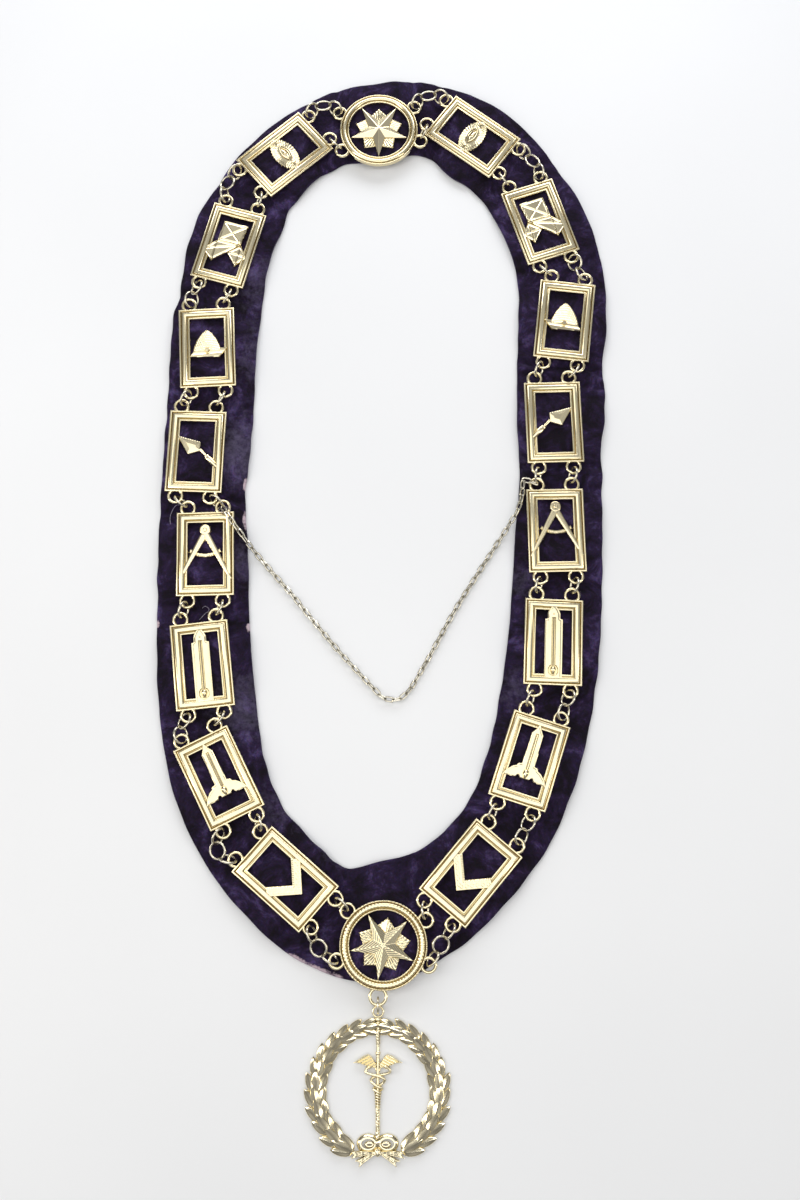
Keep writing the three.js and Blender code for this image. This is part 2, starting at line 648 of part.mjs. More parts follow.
links.forEach((link, i) => {
  add(link.name, link.emblem ? plaque(link) : medallion(link), castGold, place(link), degrees(link.turn));
  const next = links[(i + 1) % linkCount];
  ['outer', 'inner'].forEach((side) => {
    const from = eyePlace(link, 'next', side);
    const to = eyePlace(next, 'back', side);
    const outside = side === 'outer';
    const [start, end] = outside ? [from, to] : [to, from];
    const run = end.clone().sub(start);
    const string = ringString(run.length(), link[side]);
    add(`${side}_rings_${link.name}`, string, ringGold, start.setZ(eyeHeight), Math.atan2(run.y, run.x));
  });
});

// The jewel's ring stands on the surface, through the front medallion's lowest eye and the jewel's
const front = links.find((link) => link.name === 'front_medallion');
const pendantEye = place(front)
  .add(polar(medallionDiameter / 2 + pendantEyeReach, medallionEyes[front.name].pendant))
  .setZ(eyeHeight);
const jewelRingMid = jewelRingRadius + jewelRingWire / 2;
const chordAt = (height) => Math.sqrt(jewelRingRadius ** 2 - (height - jewelRingMid) ** 2);
const jewelRingY = pendantEye.y - eyeHole(pendantEyeRadius) + jewelRingWire / 2 + clearance
  - chordAt(eyeHeight + eyeWire / 2);
const jewelEyeSpan = (chordAt(jewelEyeHeight - jewelEyeWire / 2)
  + chordAt(jewelEyeHeight + jewelEyeWire / 2)) / 2;
add('jewel_ring', wireRing(jewelRingRadius, jewelRingWire).rotateY(Math.PI / 2), ringGold,
  vector(pendantEye.x, jewelRingY, jewelRingMid));
add('wreath_jewel', jewel(), castGold, vector(pendantEye.x, jewelRingY - jewelEyeSpan - jewelEyeY, 0));

function safetyChain() {
  const section = new THREE.Shape(circle(safetyChainWidth / 2, 8).map(([x, y]) => new THREE.Vector2(x, y)));
  const path = new THREE.CatmullRomCurve3(safetyRoute.map(([x, y, z]) => vector(x, y, z)));
  return new THREE.ExtrudeGeometry(section, { steps: 32, extrudePath: path, bevelEnabled: false });
}
add('safety_chain', safetyChain(), chainGold);

// The origin is under the middle of the object's box
const box = new THREE.Box3().setFromObject(chainOfOffice, true);
const middle = box.getCenter(vector(0, 0, 0));
chainOfOffice.position.set(-middle.x, -middle.y, -box.min.z);

export default chainOfOffice;
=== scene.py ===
# A chain of office laid flat: gilt plaques and star medallions joined by jump rings on a padded
# velvet collar, with a wreath jewel at the front and a fine safety chain across. Shapes are
# worked out in millimetres and put into metres when a piece is made.
import math

import bmesh
import bpy
import numpy as np
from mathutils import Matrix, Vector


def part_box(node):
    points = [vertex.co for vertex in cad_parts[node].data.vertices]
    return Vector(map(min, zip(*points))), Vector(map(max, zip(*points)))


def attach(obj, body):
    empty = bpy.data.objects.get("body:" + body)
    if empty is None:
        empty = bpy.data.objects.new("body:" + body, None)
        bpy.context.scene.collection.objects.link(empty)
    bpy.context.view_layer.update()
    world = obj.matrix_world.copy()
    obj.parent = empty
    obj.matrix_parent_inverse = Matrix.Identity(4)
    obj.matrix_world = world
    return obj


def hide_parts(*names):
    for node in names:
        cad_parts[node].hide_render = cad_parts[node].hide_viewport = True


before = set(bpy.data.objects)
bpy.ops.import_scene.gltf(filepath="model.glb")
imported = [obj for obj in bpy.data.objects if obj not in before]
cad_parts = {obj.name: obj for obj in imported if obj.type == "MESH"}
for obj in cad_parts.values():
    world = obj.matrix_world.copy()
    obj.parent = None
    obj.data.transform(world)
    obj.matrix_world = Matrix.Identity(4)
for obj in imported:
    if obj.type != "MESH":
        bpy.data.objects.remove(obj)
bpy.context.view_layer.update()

# Sizes, in millimetres
MM = 0.001
PLAQUE_WIDTH = 27.0
PLAQUE_LENGTH = 40.6
PLAQUE_DEPTH = 2.4
FRAME_BAR = 5.3
EYE_RADIUS = 3.15
EYE_WIRE = 1.4
EYE_SETBACK = 5.3
EYE_REACH = 2.1
RING_RADIUS = 3.8
RING_WIRE = 1.1
JOINT_ROOM = 13.0
MEDALLION_DIAMETER = 39.0
MEDALLION_BAR = 4.5
PENDANT_EYE_RADIUS = 3.6
PENDANT_EYE_REACH = 2.4
VELVET_PAD = 4.5
VELVET_SEAM = 2.6
CLEARANCE = 0.3
JEWEL_DEPTH = 2.6
WREATH_RADIUS = 27.0
LEAF_LENGTH = 9.6
STAFF_WIDTH = 1.8
JEWEL_EYE_RADIUS = 2.3
JEWEL_EYE_WIRE = 0.9
JEWEL_RING_RADIUS = 3.4
JEWEL_RING_WIRE = 1.0
CHAIN_LINK_LENGTH = 5.0
CHAIN_LINK_WIDTH = 2.9
CHAIN_WIRE = 0.85

LINK_BASE = VELVET_PAD + CLEARANCE
EYE_HEIGHT = LINK_BASE + PLAQUE_DEPTH / 2
JEWEL_MID = JEWEL_DEPTH / 2
# The solid's eye is bent from seven straight steps, which narrows its hole a little
EYE_SWEEP = 146
EYE_BENDS = 7
EYE_HOLE = EYE_RADIUS * math.cos(math.radians(EYE_SWEEP / EYE_BENDS)) - EYE_WIRE / 2
RING_PLAY = EYE_HOLE - RING_WIRE / 2 - CLEARANCE
RING_BACK = EYE_REACH - RING_WIRE - CLEARANCE
# The solid's ring wire has five sides, and neighbouring rings cross by this much
RING_WIRE_SIDES = 5
RING_CROSSING = 0.1

# The links, clockwise from the nape. x and y are shares of the chain's run, turn is in degrees
# anticlockwise, outer and inner count the rings to the next link, and velvet gives its reach out
# and in from the chain's line at the link and at the joint after it, as shares of the plaque's
# width.
COLUMNS = ("name", "emblem", "x", "y", "turn", "outer", "inner", "velvet")
ROWS = [
    ("nape_medallion", None, -0.0017, 0.2069, 0, 3, 1, (1.03, 0.57, 1.0, 0.56)),
    ("right_plaque_1", "glory", 0.0471, 0.2029, 53, 3, 1, (0.82, 0.83, 0.87, 0.69)),
    ("right_plaque_2", "theorem", 0.0813, 0.1545, 18.5, 2, 1, (0.88, 0.69, 0.86, 0.72)),
    ("right_plaque_3", "beehive", 0.0924, 0.0999, -6.5, 1, 1, (0.78, 0.82, 0.83, 0.77)),
    ("right_plaque_4", "trowel", 0.0858, 0.0457, 1.5, 1, 1, (0.92, 0.64, 0.86, 0.6)),
    ("right_plaque_5", "dividers", 0.0856, -0.01, 1, 1, 1, (0.82, 0.7, 0.81, 0.75)),
    ("right_plaque_6", "plumb", 0.0829, -0.0655, -2.5, 2, 1, (0.81, 0.77, 0.83, 0.76)),
    ("right_plaque_7", "level", 0.0703, -0.1224, -18, 2, 1, (0.85, 0.71, 0.86, 0.76)),
    ("right_plaque_8", "square", 0.0421, -0.1743, -40, 3, 1, (0.76, 0.93, 0.64, 1.2)),
    ("front_medallion", None, 0.0017, -0.2069, -9, 3, 1, (0.62, 1.34, 0.8, 1.2)),
    ("left_plaque_8", "square", -0.0437, -0.1771, 49, 3, 1, (0.88, 0.78, 0.87, 0.71)),
    ("left_plaque_7", "level", -0.0757, -0.1305, 26.5, 2, 1, (0.81, 0.81, 0.79, 0.86)),
    ("left_plaque_6", "plumb", -0.0852, -0.0768, 6.5, 1, 1, (0.79, 0.84, 0.82, 0.77)),
    ("left_plaque_5", "dividers", -0.0854, -0.0218, 1.5, 1, 1, (0.84, 0.73, 0.73, 0.78)),
    ("left_plaque_4", "trowel", -0.0916, 0.0305, -2, 1, 1, (0.59, 0.94, 0.6, 0.95)),
    ("left_plaque_3", "beehive", -0.0876, 0.0853, 3, 2, 1, (0.68, 0.87, 0.74, 0.85)),
    ("left_plaque_2", "theorem", -0.0784, 0.1413, -15.5, 3, 1, (0.76, 0.78, 0.75, 0.75)),
    ("left_plaque_1", "glory", -0.0505, 0.1928, -49, 3, 1, (0.66, 0.71, 0.92, 0.6)),
]
LINKS = [dict(zip(COLUMNS, row)) for row in ROWS]
PLAQUES = sum(1 for link in LINKS if link["emblem"])
CHAIN_RUN = (PLAQUES * PLAQUE_LENGTH + (len(LINKS) - PLAQUES) * MEDALLION_DIAMETER
             + len(LINKS) * JOINT_ROOM)

# Angles in degrees of the eyes on each medallion's rim, towards the next link and the one before
MEDALLION_EYES = {
    "nape_medallion": {"next": {"outer": 35, "inner": -17}, "back": {"outer": 155, "inner": 212}},
    "front_medallion": {"next": {"outer": 198, "inner": 137}, "back": {"outer": -23, "inner": 30}},
}
PENDANT_ANGLE = 264

# The safety chain's route along its links' middles, measured from the drawing's origin
SAFETY_ROUTE = [
    (-72.6, -1.6, 8.5), (-69.8, -5.6, 8.6), (-66.6, -9.8, 7.4), (-63.6, -13.9, 5.7),
    (-60.4, -17.9, 3.2), (-57.2, -21.6, 1.6), (-49.7, -30.3, 1.4), (-41.4, -39.7, 1.4),
    (-34.1, -48.8, 1.4), (-19, -66.9, 1.4), (-2.6, -84.6, 1.4), (2, -88.4, 1.4), (7.6, -89, 1.4),
    (11.2, -86.8, 1.4), (15, -82.1, 1.4), (22.9, -68.4, 1.4), (34.7, -46.9, 1.4),
    (46.7, -27.6, 1.4), (53.9, -16.3, 1.4), (57.6, -10.6, 1.7), (60.9, -5.6, 4.4),
    (64, -0.5, 6.2), (66, 5.3, 6.4), (66.8, 10.2, 6.5), (67.8, 14.8, 6.6),
]

# The links whose inner eyes hold the safety chain's two ends, and the way that each eye faces
NAMED_LINKS = {link["name"]: link for link in LINKS}
SAFETY_ENDS = [(NAMED_LINKS["left_plaque_5"], "next"), (NAMED_LINKS["right_plaque_5"], "back")]


def polar(radius, angle):
    """The point at a radius and an angle in degrees from +X."""
    return np.array([radius * math.cos(math.radians(angle)), radius * math.sin(math.radians(angle))])


def turning(angle):
    """The matrix that turns a row of x and y by an angle in degrees, anticlockwise."""
    cosine, sine = math.cos(math.radians(angle)), math.sin(math.radians(angle))
    return np.array([[cosine, sine], [-sine, cosine]])


def highest_point(node):
    """The highest vertex of a node, in millimetres: on a medallion, the star's peak at its middle."""
    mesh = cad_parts[node].data
    points = np.empty(3 * len(mesh.vertices))
    mesh.vertices.foreach_get("co", points)
    points = points.reshape(-1, 3) / MM
    return points[points[:, 2].argmax()]


# The drawing's origin in the frame, from the nape medallion's middle
SHIFT = highest_point("nape_medallion")[:2] - CHAIN_RUN * np.array([LINKS[0]["x"], LINKS[0]["y"]])


def place(link):
    """The middle of a link in the frame, x and y."""
    return SHIFT + CHAIN_RUN * np.array([link["x"], link["y"]])


def eye_place(link, facing, side):
    """The middle of the eye that faces the next link or the one before, on the outer or inner side."""
    if not link["emblem"]:
        angle = MEDALLION_EYES[link["name"]][facing][side]
        return place(link) + polar(MEDALLION_DIAMETER / 2 + EYE_REACH, angle)
    right = link["name"].startswith("right")
    x = 1 if (side == "outer") == right else -1
    y = 1 if (facing == "back") == right else -1
    eye = np.array([x * (PLAQUE_WIDTH / 2 - EYE_SETBACK), y * (PLAQUE_LENGTH / 2 + EYE_REACH)])
    return place(link) + eye @ turning(link["turn"])


# Shapes. A shape is its points and a list of face arrays.

def grid_faces(rows, columns, round_rows=False, round_columns=False):
    """The four-sided faces over a grid of points, closing on itself where it goes round."""
    r = np.arange(rows if round_rows else rows - 1)[:, None]
    c = np.arange(columns if round_columns else columns - 1)[None, :]
    r2, c2 = (r + 1) % rows, (c + 1) % columns
    corners = [r * columns + c, r * columns + c2, r2 * columns + c2, r2 * columns + c]
    return np.stack([np.broadcast_to(k, (r.size, c.size)) for k in corners], -1).reshape(-1, 4)


def join(shapes):
    """One shape from several."""
    points, faces, start = [], [], 0
    for shape_points, shape_faces in shapes:
        points.append(shape_points)
        faces += [block + start for block in shape_faces]
        start += len(shape_points)
    return np.vstack(points), faces


def moved(shape, by=(0, 0, 0), turn=0, mirror=False):
    """A shape, mirrored across x if asked, turned in degrees about z, then moved."""
    points = shape[0].copy()
    if mirror:
        points[:, 0] *= -1
    points[:, :2] = points[:, :2] @ turning(turn)
    return points + np.array(by, float), shape[1]


def end_faces(count, sides):
    """The two faces that close a row of count sections, each of so many sides."""
    first = np.arange(sides)[None]
    return [first, first + (count - 1) * sides]


def catmull_rom(before, here, after, beyond, share):
    """The uniform Catmull-Rom cubic from here to after, at shares of the way between them."""
    slope = after - before
    bend = 2 * before - 5 * here + 4 * after - beyond
    twist = 3 * here - before - 3 * after + beyond
    return 0.5 * (2 * here + slope * share + bend * share ** 2 + twist * share ** 3)


def tube(path, radius, sides=8, closed=False, flat=1.0):
    """A wire: round sections of the radius, flattened by flat across the surface, along a path."""
    path = np.asarray(path, float)
    count = len(path)
    if closed:
        along = np.roll(path, -1, 0) - np.roll(path, 1, 0)
    else:
        along = np.gradient(path, axis=0)
    along /= np.linalg.norm(along, axis=1)[:, None]
    up = np.where(np.abs(along[:, 2:]) > 0.95, [[0.0, 1.0, 0.0]], [[0.0, 0.0, 1.0]])
    across = np.cross(up, along)
    across /= np.linalg.norm(across, axis=1)[:, None]
    lifted = np.cross(along, across)
    angle = 2 * np.pi * np.arange(sides) / sides
    radius = np.broadcast_to(radius, count)[:, None, None]
    points = (path[:, None] + radius * np.cos(angle)[None, :, None] * across[:, None]
              + radius * flat * np.sin(angle)[None, :, None] * lifted[:, None]).reshape(-1, 3)
    faces = [grid_faces(count, sides, closed, True)]
    if not closed:
        faces += end_faces(count, sides)
    return points, faces


def torus(radius, wire, around=40, sides=12):
    """A ring in the x, y plane: a circle of the wire's radius carried round a circle."""
    t = np.linspace(0, 2 * np.pi, around, endpoint=False)
    return tube(np.stack([radius * np.cos(t), radius * np.sin(t), 0 * t], 1), wire / 2, sides, True)


def ball(radius, squash):
    """A squashed ball: circles whose radius is the sine of their angle from the pole, between two
    points."""
    rings, sides = 12, 20
    polar_angle = np.linspace(0, np.pi, rings + 1)[1:-1]
    t = np.linspace(0, 2 * np.pi, sides, endpoint=False)
    points = np.stack([np.outer(np.sin(polar_angle), np.cos(t)),
                       np.outer(np.sin(polar_angle), np.sin(t)),
                       np.outer(np.cos(polar_angle), np.ones(sides))], -1).reshape(-1, 3)
    points = np.vstack([points, [[0, 0, 1], [0, 0, -1]]]) * radius * np.array(squash)
    k = np.arange(sides)
    last = len(points) - 2 - sides
    caps = np.stack([0 * k + len(points) - 2, k, (k + 1) % sides], 1)
    feet = np.stack([0 * k + len(points) - 1, last + (k + 1) % sides, last + k], 1)
    return points, [grid_faces(rings - 1, sides, False, True), caps, feet]


def outline_distance(x, y, outline):
    """Distance inside a closed outline, negative outside, and the nearest point on the outline."""
    a = outline
    b = np.roll(a, -1, 0)
    edge = b - a
    px, py = x[..., None] - a[:, 0], y[..., None] - a[:, 1]
    t = np.clip((px * edge[:, 0] + py * edge[:, 1]) / (edge ** 2).sum(1), 0, 1)
    near_x, near_y = a[:, 0] + t * edge[:, 0], a[:, 1] + t * edge[:, 1]
    gap = np.hypot(x[..., None] - near_x, y[..., None] - near_y)
    k = gap.argmin(-1)[..., None]
    crossing = (a[:, 1] > y[..., None]) != (b[:, 1] > y[..., None])
    rise = np.where(edge[:, 1] == 0, 1e-9, edge[:, 1])
    inside = (crossing & (px < edge[:, 0] * py / rise)).sum(-1) % 2 == 1
    nearest = [np.take_along_axis(values, k, -1)[..., 0] for values in (gap, near_x, near_y)]
    return np.where(inside, 1, -1) * nearest[0], nearest[1], nearest[2]


def raised(outline, low, top, edge, step, relief=None):
    """A plate in relief: a grid of about the step cut to an outline, its rim on the outline, its
    top rounded over within edge of it and lifted by relief(x, y, distance inside), its back flat
    at low."""
    outline = np.asarray(outline, float)
    first, last = outline.min(0), outline.max(0)
    counts = np.maximum(np.ceil((last - first) / step).astype(int), 3) + 1
    x, y = np.meshgrid(*[np.linspace(first[k], last[k], counts[k]) for k in (0, 1)], indexing="ij")
    middle_x, middle_y = [(v[1:, 1:] + v[:-1, 1:] + v[1:, :-1] + v[:-1, :-1]) / 4 for v in (x, y)]
    kept = outline_distance(middle_x, middle_y, outline)[0] > 0.12 * step
    ring = np.pad(kept, 1)
    uses = ring[1:, 1:].astype(int) + ring[:-1, 1:] + ring[1:, :-1] + ring[:-1, :-1]
    _, near_x, near_y = outline_distance(x, y, outline)
    rim = (uses > 0) & (uses < 4)
    x, y = np.where(rim, near_x, x), np.where(rim, near_y, y)
    inside = np.where(rim, 0, np.maximum(outline_distance(x, y, outline)[0], 0))
    share = np.clip(inside / edge, 0, 1)
    height = low + (top - low) * (0.45 + 0.55 * np.sqrt(1 - (1 - share) ** 2))
    if relief is not None:
        height = height + share * relief(x, y, inside)
    used = uses > 0
    index = np.cumsum(used.ravel()).reshape(used.shape) - 1
    total = int(used.sum())
    upper = np.stack([x[used], y[used], height[used]], 1)
    lower = np.stack([x[used], y[used], np.full(total, low)], 1)
    cells = np.stack([index[:-1, :-1], index[1:, :-1], index[1:, 1:], index[:-1, 1:]], -1)[kept]
    side_x = ring[1:-1, 1:] != ring[1:-1, :-1]
    side_y = ring[1:, 1:-1] != ring[:-1, 1:-1]
    walls = np.vstack([
        np.stack([index[:-1][side_x], index[1:][side_x]], 1),
        np.stack([index[:, :-1][side_y], index[:, 1:][side_y]], 1),
    ])
    return np.vstack([upper, lower]), [cells, cells[:, ::-1] + total,
                                       np.hstack([walls, walls[:, ::-1] + total])]


def groove(x, y, start, end, wide):
    """One along a straight line, falling off to nothing at about wide from it."""
    start, end = np.array(start, float), np.array(end, float)
    run = end - start
    t = np.clip(((x - start[0]) * run[0] + (y - start[1]) * run[1]) / (run ** 2).sum(), 0, 1)
    return np.exp(-((x - start[0] - t * run[0]) ** 2 + (y - start[1] - t * run[1]) ** 2) / wide ** 2)


def disc(radius, at, low, top, edge):
    """A round boss, as a plate in relief."""
    t = np.linspace(0, 2 * np.pi, 28, endpoint=False)
    rim = np.stack([at[0] + radius * np.cos(t), at[1] + radius * np.sin(t)], 1)
    return raised(rim, low, top, edge, 0.22)


# Plaques

EMBLEM_LOW = 0.25 * PLAQUE_DEPTH
EMBLEM_TOP = EMBLEM_LOW + 1.4


def both_sides(half):
    """An outline from its left half, mirrored across x."""
    return [*half, *[(-x, y) for x, y in reversed(half)]]


def glory():
    """An eye in a pointed oval of rays, whose edge is scalloped by a cosine of the angle."""
    rays = 36
    wide, tall = 10.7, 6.0
    t = np.linspace(0, 2 * np.pi, 8 * rays, endpoint=False)
    size = 1 - 0.035 * (1 - np.cos(rays * t))
    outline = np.stack([wide * np.cos(t) * size, tall * np.sin(t) * np.abs(np.sin(t)) ** 0.3 * size], 1)
    lid = np.linspace(-1, 1, 30)

    def flames(x, y, inside):
        angle = np.arctan2(y / tall, x / wide)
        out = np.hypot(x / wide, y / tall)
        fade = np.clip(out * 3 - 1, 0, 1)
        return fade * 0.32 * (np.abs(np.cos(rays / 2 * angle)) - 0.5) - 0.35 * out

    reach, rise = 4.4, 1.75
    over = np.stack([reach * lid, rise * (1 - lid ** 2)], 1)
    under = np.stack([-reach * lid, -rise * (1 - lid ** 2)], 1)
    almond = np.vstack([over, under[1:-1]])

    brow = np.stack([4.6 * lid, 1.2 + 1.5 * (1 - lid ** 2), 0 * lid + EMBLEM_TOP + 0.1], 1)
    upper = np.stack([4.3 * lid, rise * (1 - lid ** 2), 0 * lid + EMBLEM_TOP + 0.35], 1)
    lower = np.stack([4.3 * lid, -1.5 * (1 - lid ** 2), 0 * lid + EMBLEM_TOP + 0.3], 1)
    thin = 0.3 * np.sqrt(1.02 - lid ** 2)
    return [raised(outline, EMBLEM_LOW, EMBLEM_TOP, 0.3, 0.22, flames),
            raised(almond, EMBLEM_LOW, EMBLEM_TOP + 0.3, 1.5, 0.22),
            tube(brow, thin, 8), tube(upper, thin, 8), tube(lower, thin, 8),
            disc(1.25, (0, 0.15), EMBLEM_LOW, EMBLEM_TOP + 0.62, 1.0),
            disc(0.5, (0, 0.15), EMBLEM_LOW, EMBLEM_TOP + 0.78, 0.35)]


def theorem():
    """Three squares about a triangle, each with incised lines from corner to corner."""
    big = [(-6.0, 1.0), (6.0, 1.2), (7.0, 11.9), (-5.8, 12.0)]
    left = [(-6.2, 1.5), (-12.0, -5.0), (-6.0, -10.0), (6.2, 1.5)]
    right = [(6.2, 1.5), (11.0, -4.2), (5.9, -10.0), (0, -3.8)]

    def incised(corners):
        def lines(x, y, inside):
            one = groove(x, y, corners[0], corners[2], 0.28)
            other = groove(x, y, corners[1], corners[3], 0.28)
            return -0.3 * np.maximum(one, other) - 0.22 * np.exp(-((inside - 0.85) / 0.22) ** 2)
        return lines

    return [raised(big, EMBLEM_LOW, EMBLEM_TOP + 0.3, 0.3, 0.28, incised(big)),
            raised(left, EMBLEM_LOW, EMBLEM_TOP, 0.3, 0.28, incised(left)),
            raised(right, EMBLEM_LOW, EMBLEM_TOP - 0.15, 0.3, 0.28, incised(right))]


def beehive():
    """A domed skep of straw coils on a board: ridges by a cosine of the height, cut across finely."""
    t = np.linspace(-1, 1, 26)
    dome = [(7.2 * v, -2.6 + 11.8 * (1 - abs(v) ** 1.6) ** 0.72) for v in t]
    board = [(-9.2, -4.9), (5.9, -5.4), (10.3, -0.4), (6.2, -0.3), (-6.8, -2.0)]

    def coils(x, y, inside):
        height = y + 0.03 * x ** 2
        return (0.5 * np.clip(inside / 4, 0, 1) + 0.26 * np.abs(np.cos(np.pi * height / 1.25))
                + 0.07 * np.cos(2 * np.pi * (x + 0.4 * height) / 0.9))

    def planks(x, y, inside):
        return -0.2 * groove(x, y, (-7.5, -3.4), (8.2, -2.6), 0.25)

    return [raised(dome, EMBLEM_LOW, EMBLEM_TOP, 0.6, 0.25, coils),
            raised(board, EMBLEM_LOW, EMBLEM_TOP + 0.2, 0.3, 0.28, planks),
            disc(1.2, (0, -1.7), EMBLEM_LOW, EMBLEM_TOP + 1.05, 0.25),
            disc(0.75, (0, -1.7), EMBLEM_LOW, EMBLEM_TOP + 0.7, 0.3)]


def trowel():
    """A pointed blade with a ridge, a cranked neck and a turned handle."""
    blade = [(-9.6, 7.8), (-3.9, -2.0), (2.1, 0.0), (2.3, 4.8)]

    def ridge(x, y, inside):
        return 0.45 * np.clip(inside / 2.4, 0, 1)

    share = np.linspace(0, 1, 40)
    start, end = np.array([2.0, 0.9]), np.array([10.6, -7.6])
    spine = start + share[:, None] * (end - start)
    neck = 0.75 - 0.15 * np.clip(share / 0.3, 0, 1)
    swell = np.clip((share - 0.32) / 0.68, 0, 1)
    handle = 0.7 + 0.75 * np.sin(np.pi * swell ** 0.7) ** 0.8
    ferrule = 0.25 * np.exp(-((share - 0.36) / 0.03) ** 2)
    thick = np.where(share < 0.34, neck, handle) + ferrule
    path = np.column_stack([spine, np.full(len(share), EMBLEM_LOW + 1.1)])
    return [raised(blade, EMBLEM_LOW, EMBLEM_TOP, 0.35, 0.28, ridge),
            tube(path, thick, 14, flat=0.85)]


def dividers():
    """Wing dividers: two tapered legs, a round joint with a screw, and a graduated quarter arc."""
    leg = [(-0.9, 12.6), (-12.6, -10.6), (-13.2, -13.2), (-11.2, -12.4), (1.9, 9.6)]
    leg = [(0.98 * x, y) for x, y in leg]
    other = [(-x, y) for x, y in reversed(leg)]
    pivot = 11.4
    t = np.radians(np.linspace(233, 307, 26))
    inner, outer = 11.2, 13.2
    arc = [*[(inner * math.cos(v), pivot + inner * math.sin(v)) for v in t],
           *[(outer * math.cos(v), pivot + outer * math.sin(v)) for v in t[::-1]]]

    def ridge(x, y, inside):
        return 0.3 * np.clip(inside / 0.9, 0, 1)

    def marks(x, y, inside):
        angle = np.degrees(np.arctan2(y - pivot, x))
        return -0.2 * (np.cos(2 * np.pi * angle / 4.5) > 0.6) * (np.hypot(x, y - pivot) > 12.3)

    return [raised(arc, EMBLEM_LOW, EMBLEM_TOP - 0.35, 0.25, 0.24, marks),
            raised(leg, EMBLEM_LOW, EMBLEM_TOP - 0.1, 0.3, 0.28, ridge),
            raised(other, EMBLEM_LOW, EMBLEM_TOP + 0.15, 0.3, 0.28, ridge),
            disc(2.8, (0, pivot), EMBLEM_LOW, EMBLEM_TOP + 0.55, 0.6),
            disc(1.2, (0, pivot), EMBLEM_LOW, EMBLEM_TOP + 0.95, 0.5)]


def plumb():
    """A plumb rule with a pointed head, a sunk line down its middle and a bob in its foot."""
    rule = both_sides([(-4.25, -17.7), (-4.25, 10.8), (-3.2, 11.1), (-3.1, 13.6), (-2.2, 15.6),
                       (-0.7, 17.6)])

    def channel(x, y, inside):
        slot = (np.abs(x) < 0.8) & (y > -12) & (y < 11.5)
        bowl = np.hypot(x / 2.3, (y + 13.3) / 2.6) < 1
        return -0.45 * (slot | bowl) - 0.15 * np.exp(-((inside - 0.8) / 0.2) ** 2)

    line = np.array([[0, y, EMBLEM_TOP - 0.05] for y in (11.5, 0, -12)])
    bob = np.linspace(0, 1, 14)
    weight = np.column_stack([0 * bob, -11.2 - 4.0 * bob, 0 * bob + EMBLEM_TOP])
    return [raised(rule, EMBLEM_LOW, EMBLEM_TOP, 0.3, 0.24, channel), tube(line, 0.28, 8),
            tube(weight, 0.15 + 1.1 * np.sin(np.pi * bob ** 0.8) ** 0.8, 12),
            disc(0.6, (0, 13.2), EMBLEM_LOW, EMBLEM_TOP + 0.3, 0.3)]


def level():
    """A mason's level: an upright with a spire, two spreading feet, a sunk line and a bob."""
    body = both_sides([(-2.3, -9.0), (-3.2, -7.6), (-4.4, -9.2), (-10.5, -9.6), (-9.2, -6.6),
                       (-6.6, -4.2), (-5.0, -3.4), (-4.9, -2.4), (-3.1, -1.9), (-2.9, 12.6),
                       (-1.6, 14.6), (-0.35, 17.2)])

    def channel(x, y, inside):
        slot = (np.abs(x) < 0.6) & (y > -4) & (y < 12.5)
        return 0.1 - 0.4 * slot - 0.14 * np.exp(-((inside - 0.75) / 0.2) ** 2)

    line = np.array([[0, y, EMBLEM_TOP] for y in (12, 4, -4.5)])
    bob = np.linspace(0, 1, 12)
    weight = np.column_stack([0 * bob, -4.2 - 4.4 * bob, 0 * bob + EMBLEM_TOP + 0.1])
    return [raised(body, EMBLEM_LOW, EMBLEM_TOP, 0.3, 0.24, channel), tube(line, 0.26, 8),
            tube(weight, 0.15 + 1.15 * np.sin(np.pi * bob ** 0.8) ** 0.8, 12)]


def square():
    """A try square: two blades from one corner at right angles, one edge of each cut with short
    marks and a row of fine rings."""
    drop, length, wide = 10.6, 16.4, 4.7
    corner = np.array([0, -drop])
    one, other = polar(1, 45), polar(1, 135)
    outline = [corner, corner + length * one, corner + length * one + wide * other,
               corner + wide * (one + other), corner + length * other + wide * one,
               corner + length * other]

    def marks(x, y, inside):
        along = (np.abs(x) + (y + drop)) / math.sqrt(2)
        from_edge = ((y + drop) - np.abs(x)) / math.sqrt(2)
        ruled = (np.abs(from_edge - wide + 0.8) < 0.5) & (np.cos(2 * np.pi * along / 0.8) > 0.3)
        rings = np.abs(np.hypot((along + 0.7) % 2.4 - 1.2, from_edge - 1.9) - 0.75) < 0.22
        return -0.14 * ruled - 0.12 * rings

    return [raised(outline, EMBLEM_LOW, EMBLEM_TOP + 0.1, 0.3, 0.22, marks)]


EMBLEMS = {"glory": glory, "theorem": theorem, "beehive": beehive, "trowel": trowel,
           "dividers": dividers, "plumb": plumb, "level": level, "square": square}


def bead(middle, radius, foot, rise, count=9):
    """A half round of a moulding: points over an arch of the radius and rise, from left to right."""
    angle = np.linspace(np.pi, 0, count)
    return np.stack([middle + radius * np.cos(angle), foot + rise * np.sin(angle)], 1)


def moulding():
    """The frame bar's section: a bead, a groove, a broad round, a groove and a bead."""
    return np.vstack([[(0, 0)], bead(0.5, 0.5, 1.45, 0.5), bead(2.6, 1.4, 1.3, 1.1, 15),
                      bead(4.8, 0.5, 1.4, 0.5), [(FRAME_BAR, 0)]])


def cast_eye(at, away, radius=EYE_RADIUS):
    """An eye cast on a link: a wire bent round, its two feet in the link."""
    half_bend = 150
    angle = np.linspace(away - half_bend, away + half_bend, 30)
    path = np.array([[*(np.array(at) + polar(radius, a)), PLAQUE_DEPTH / 2] for a in angle])
    return tube(path, EYE_WIRE / 2, 12)


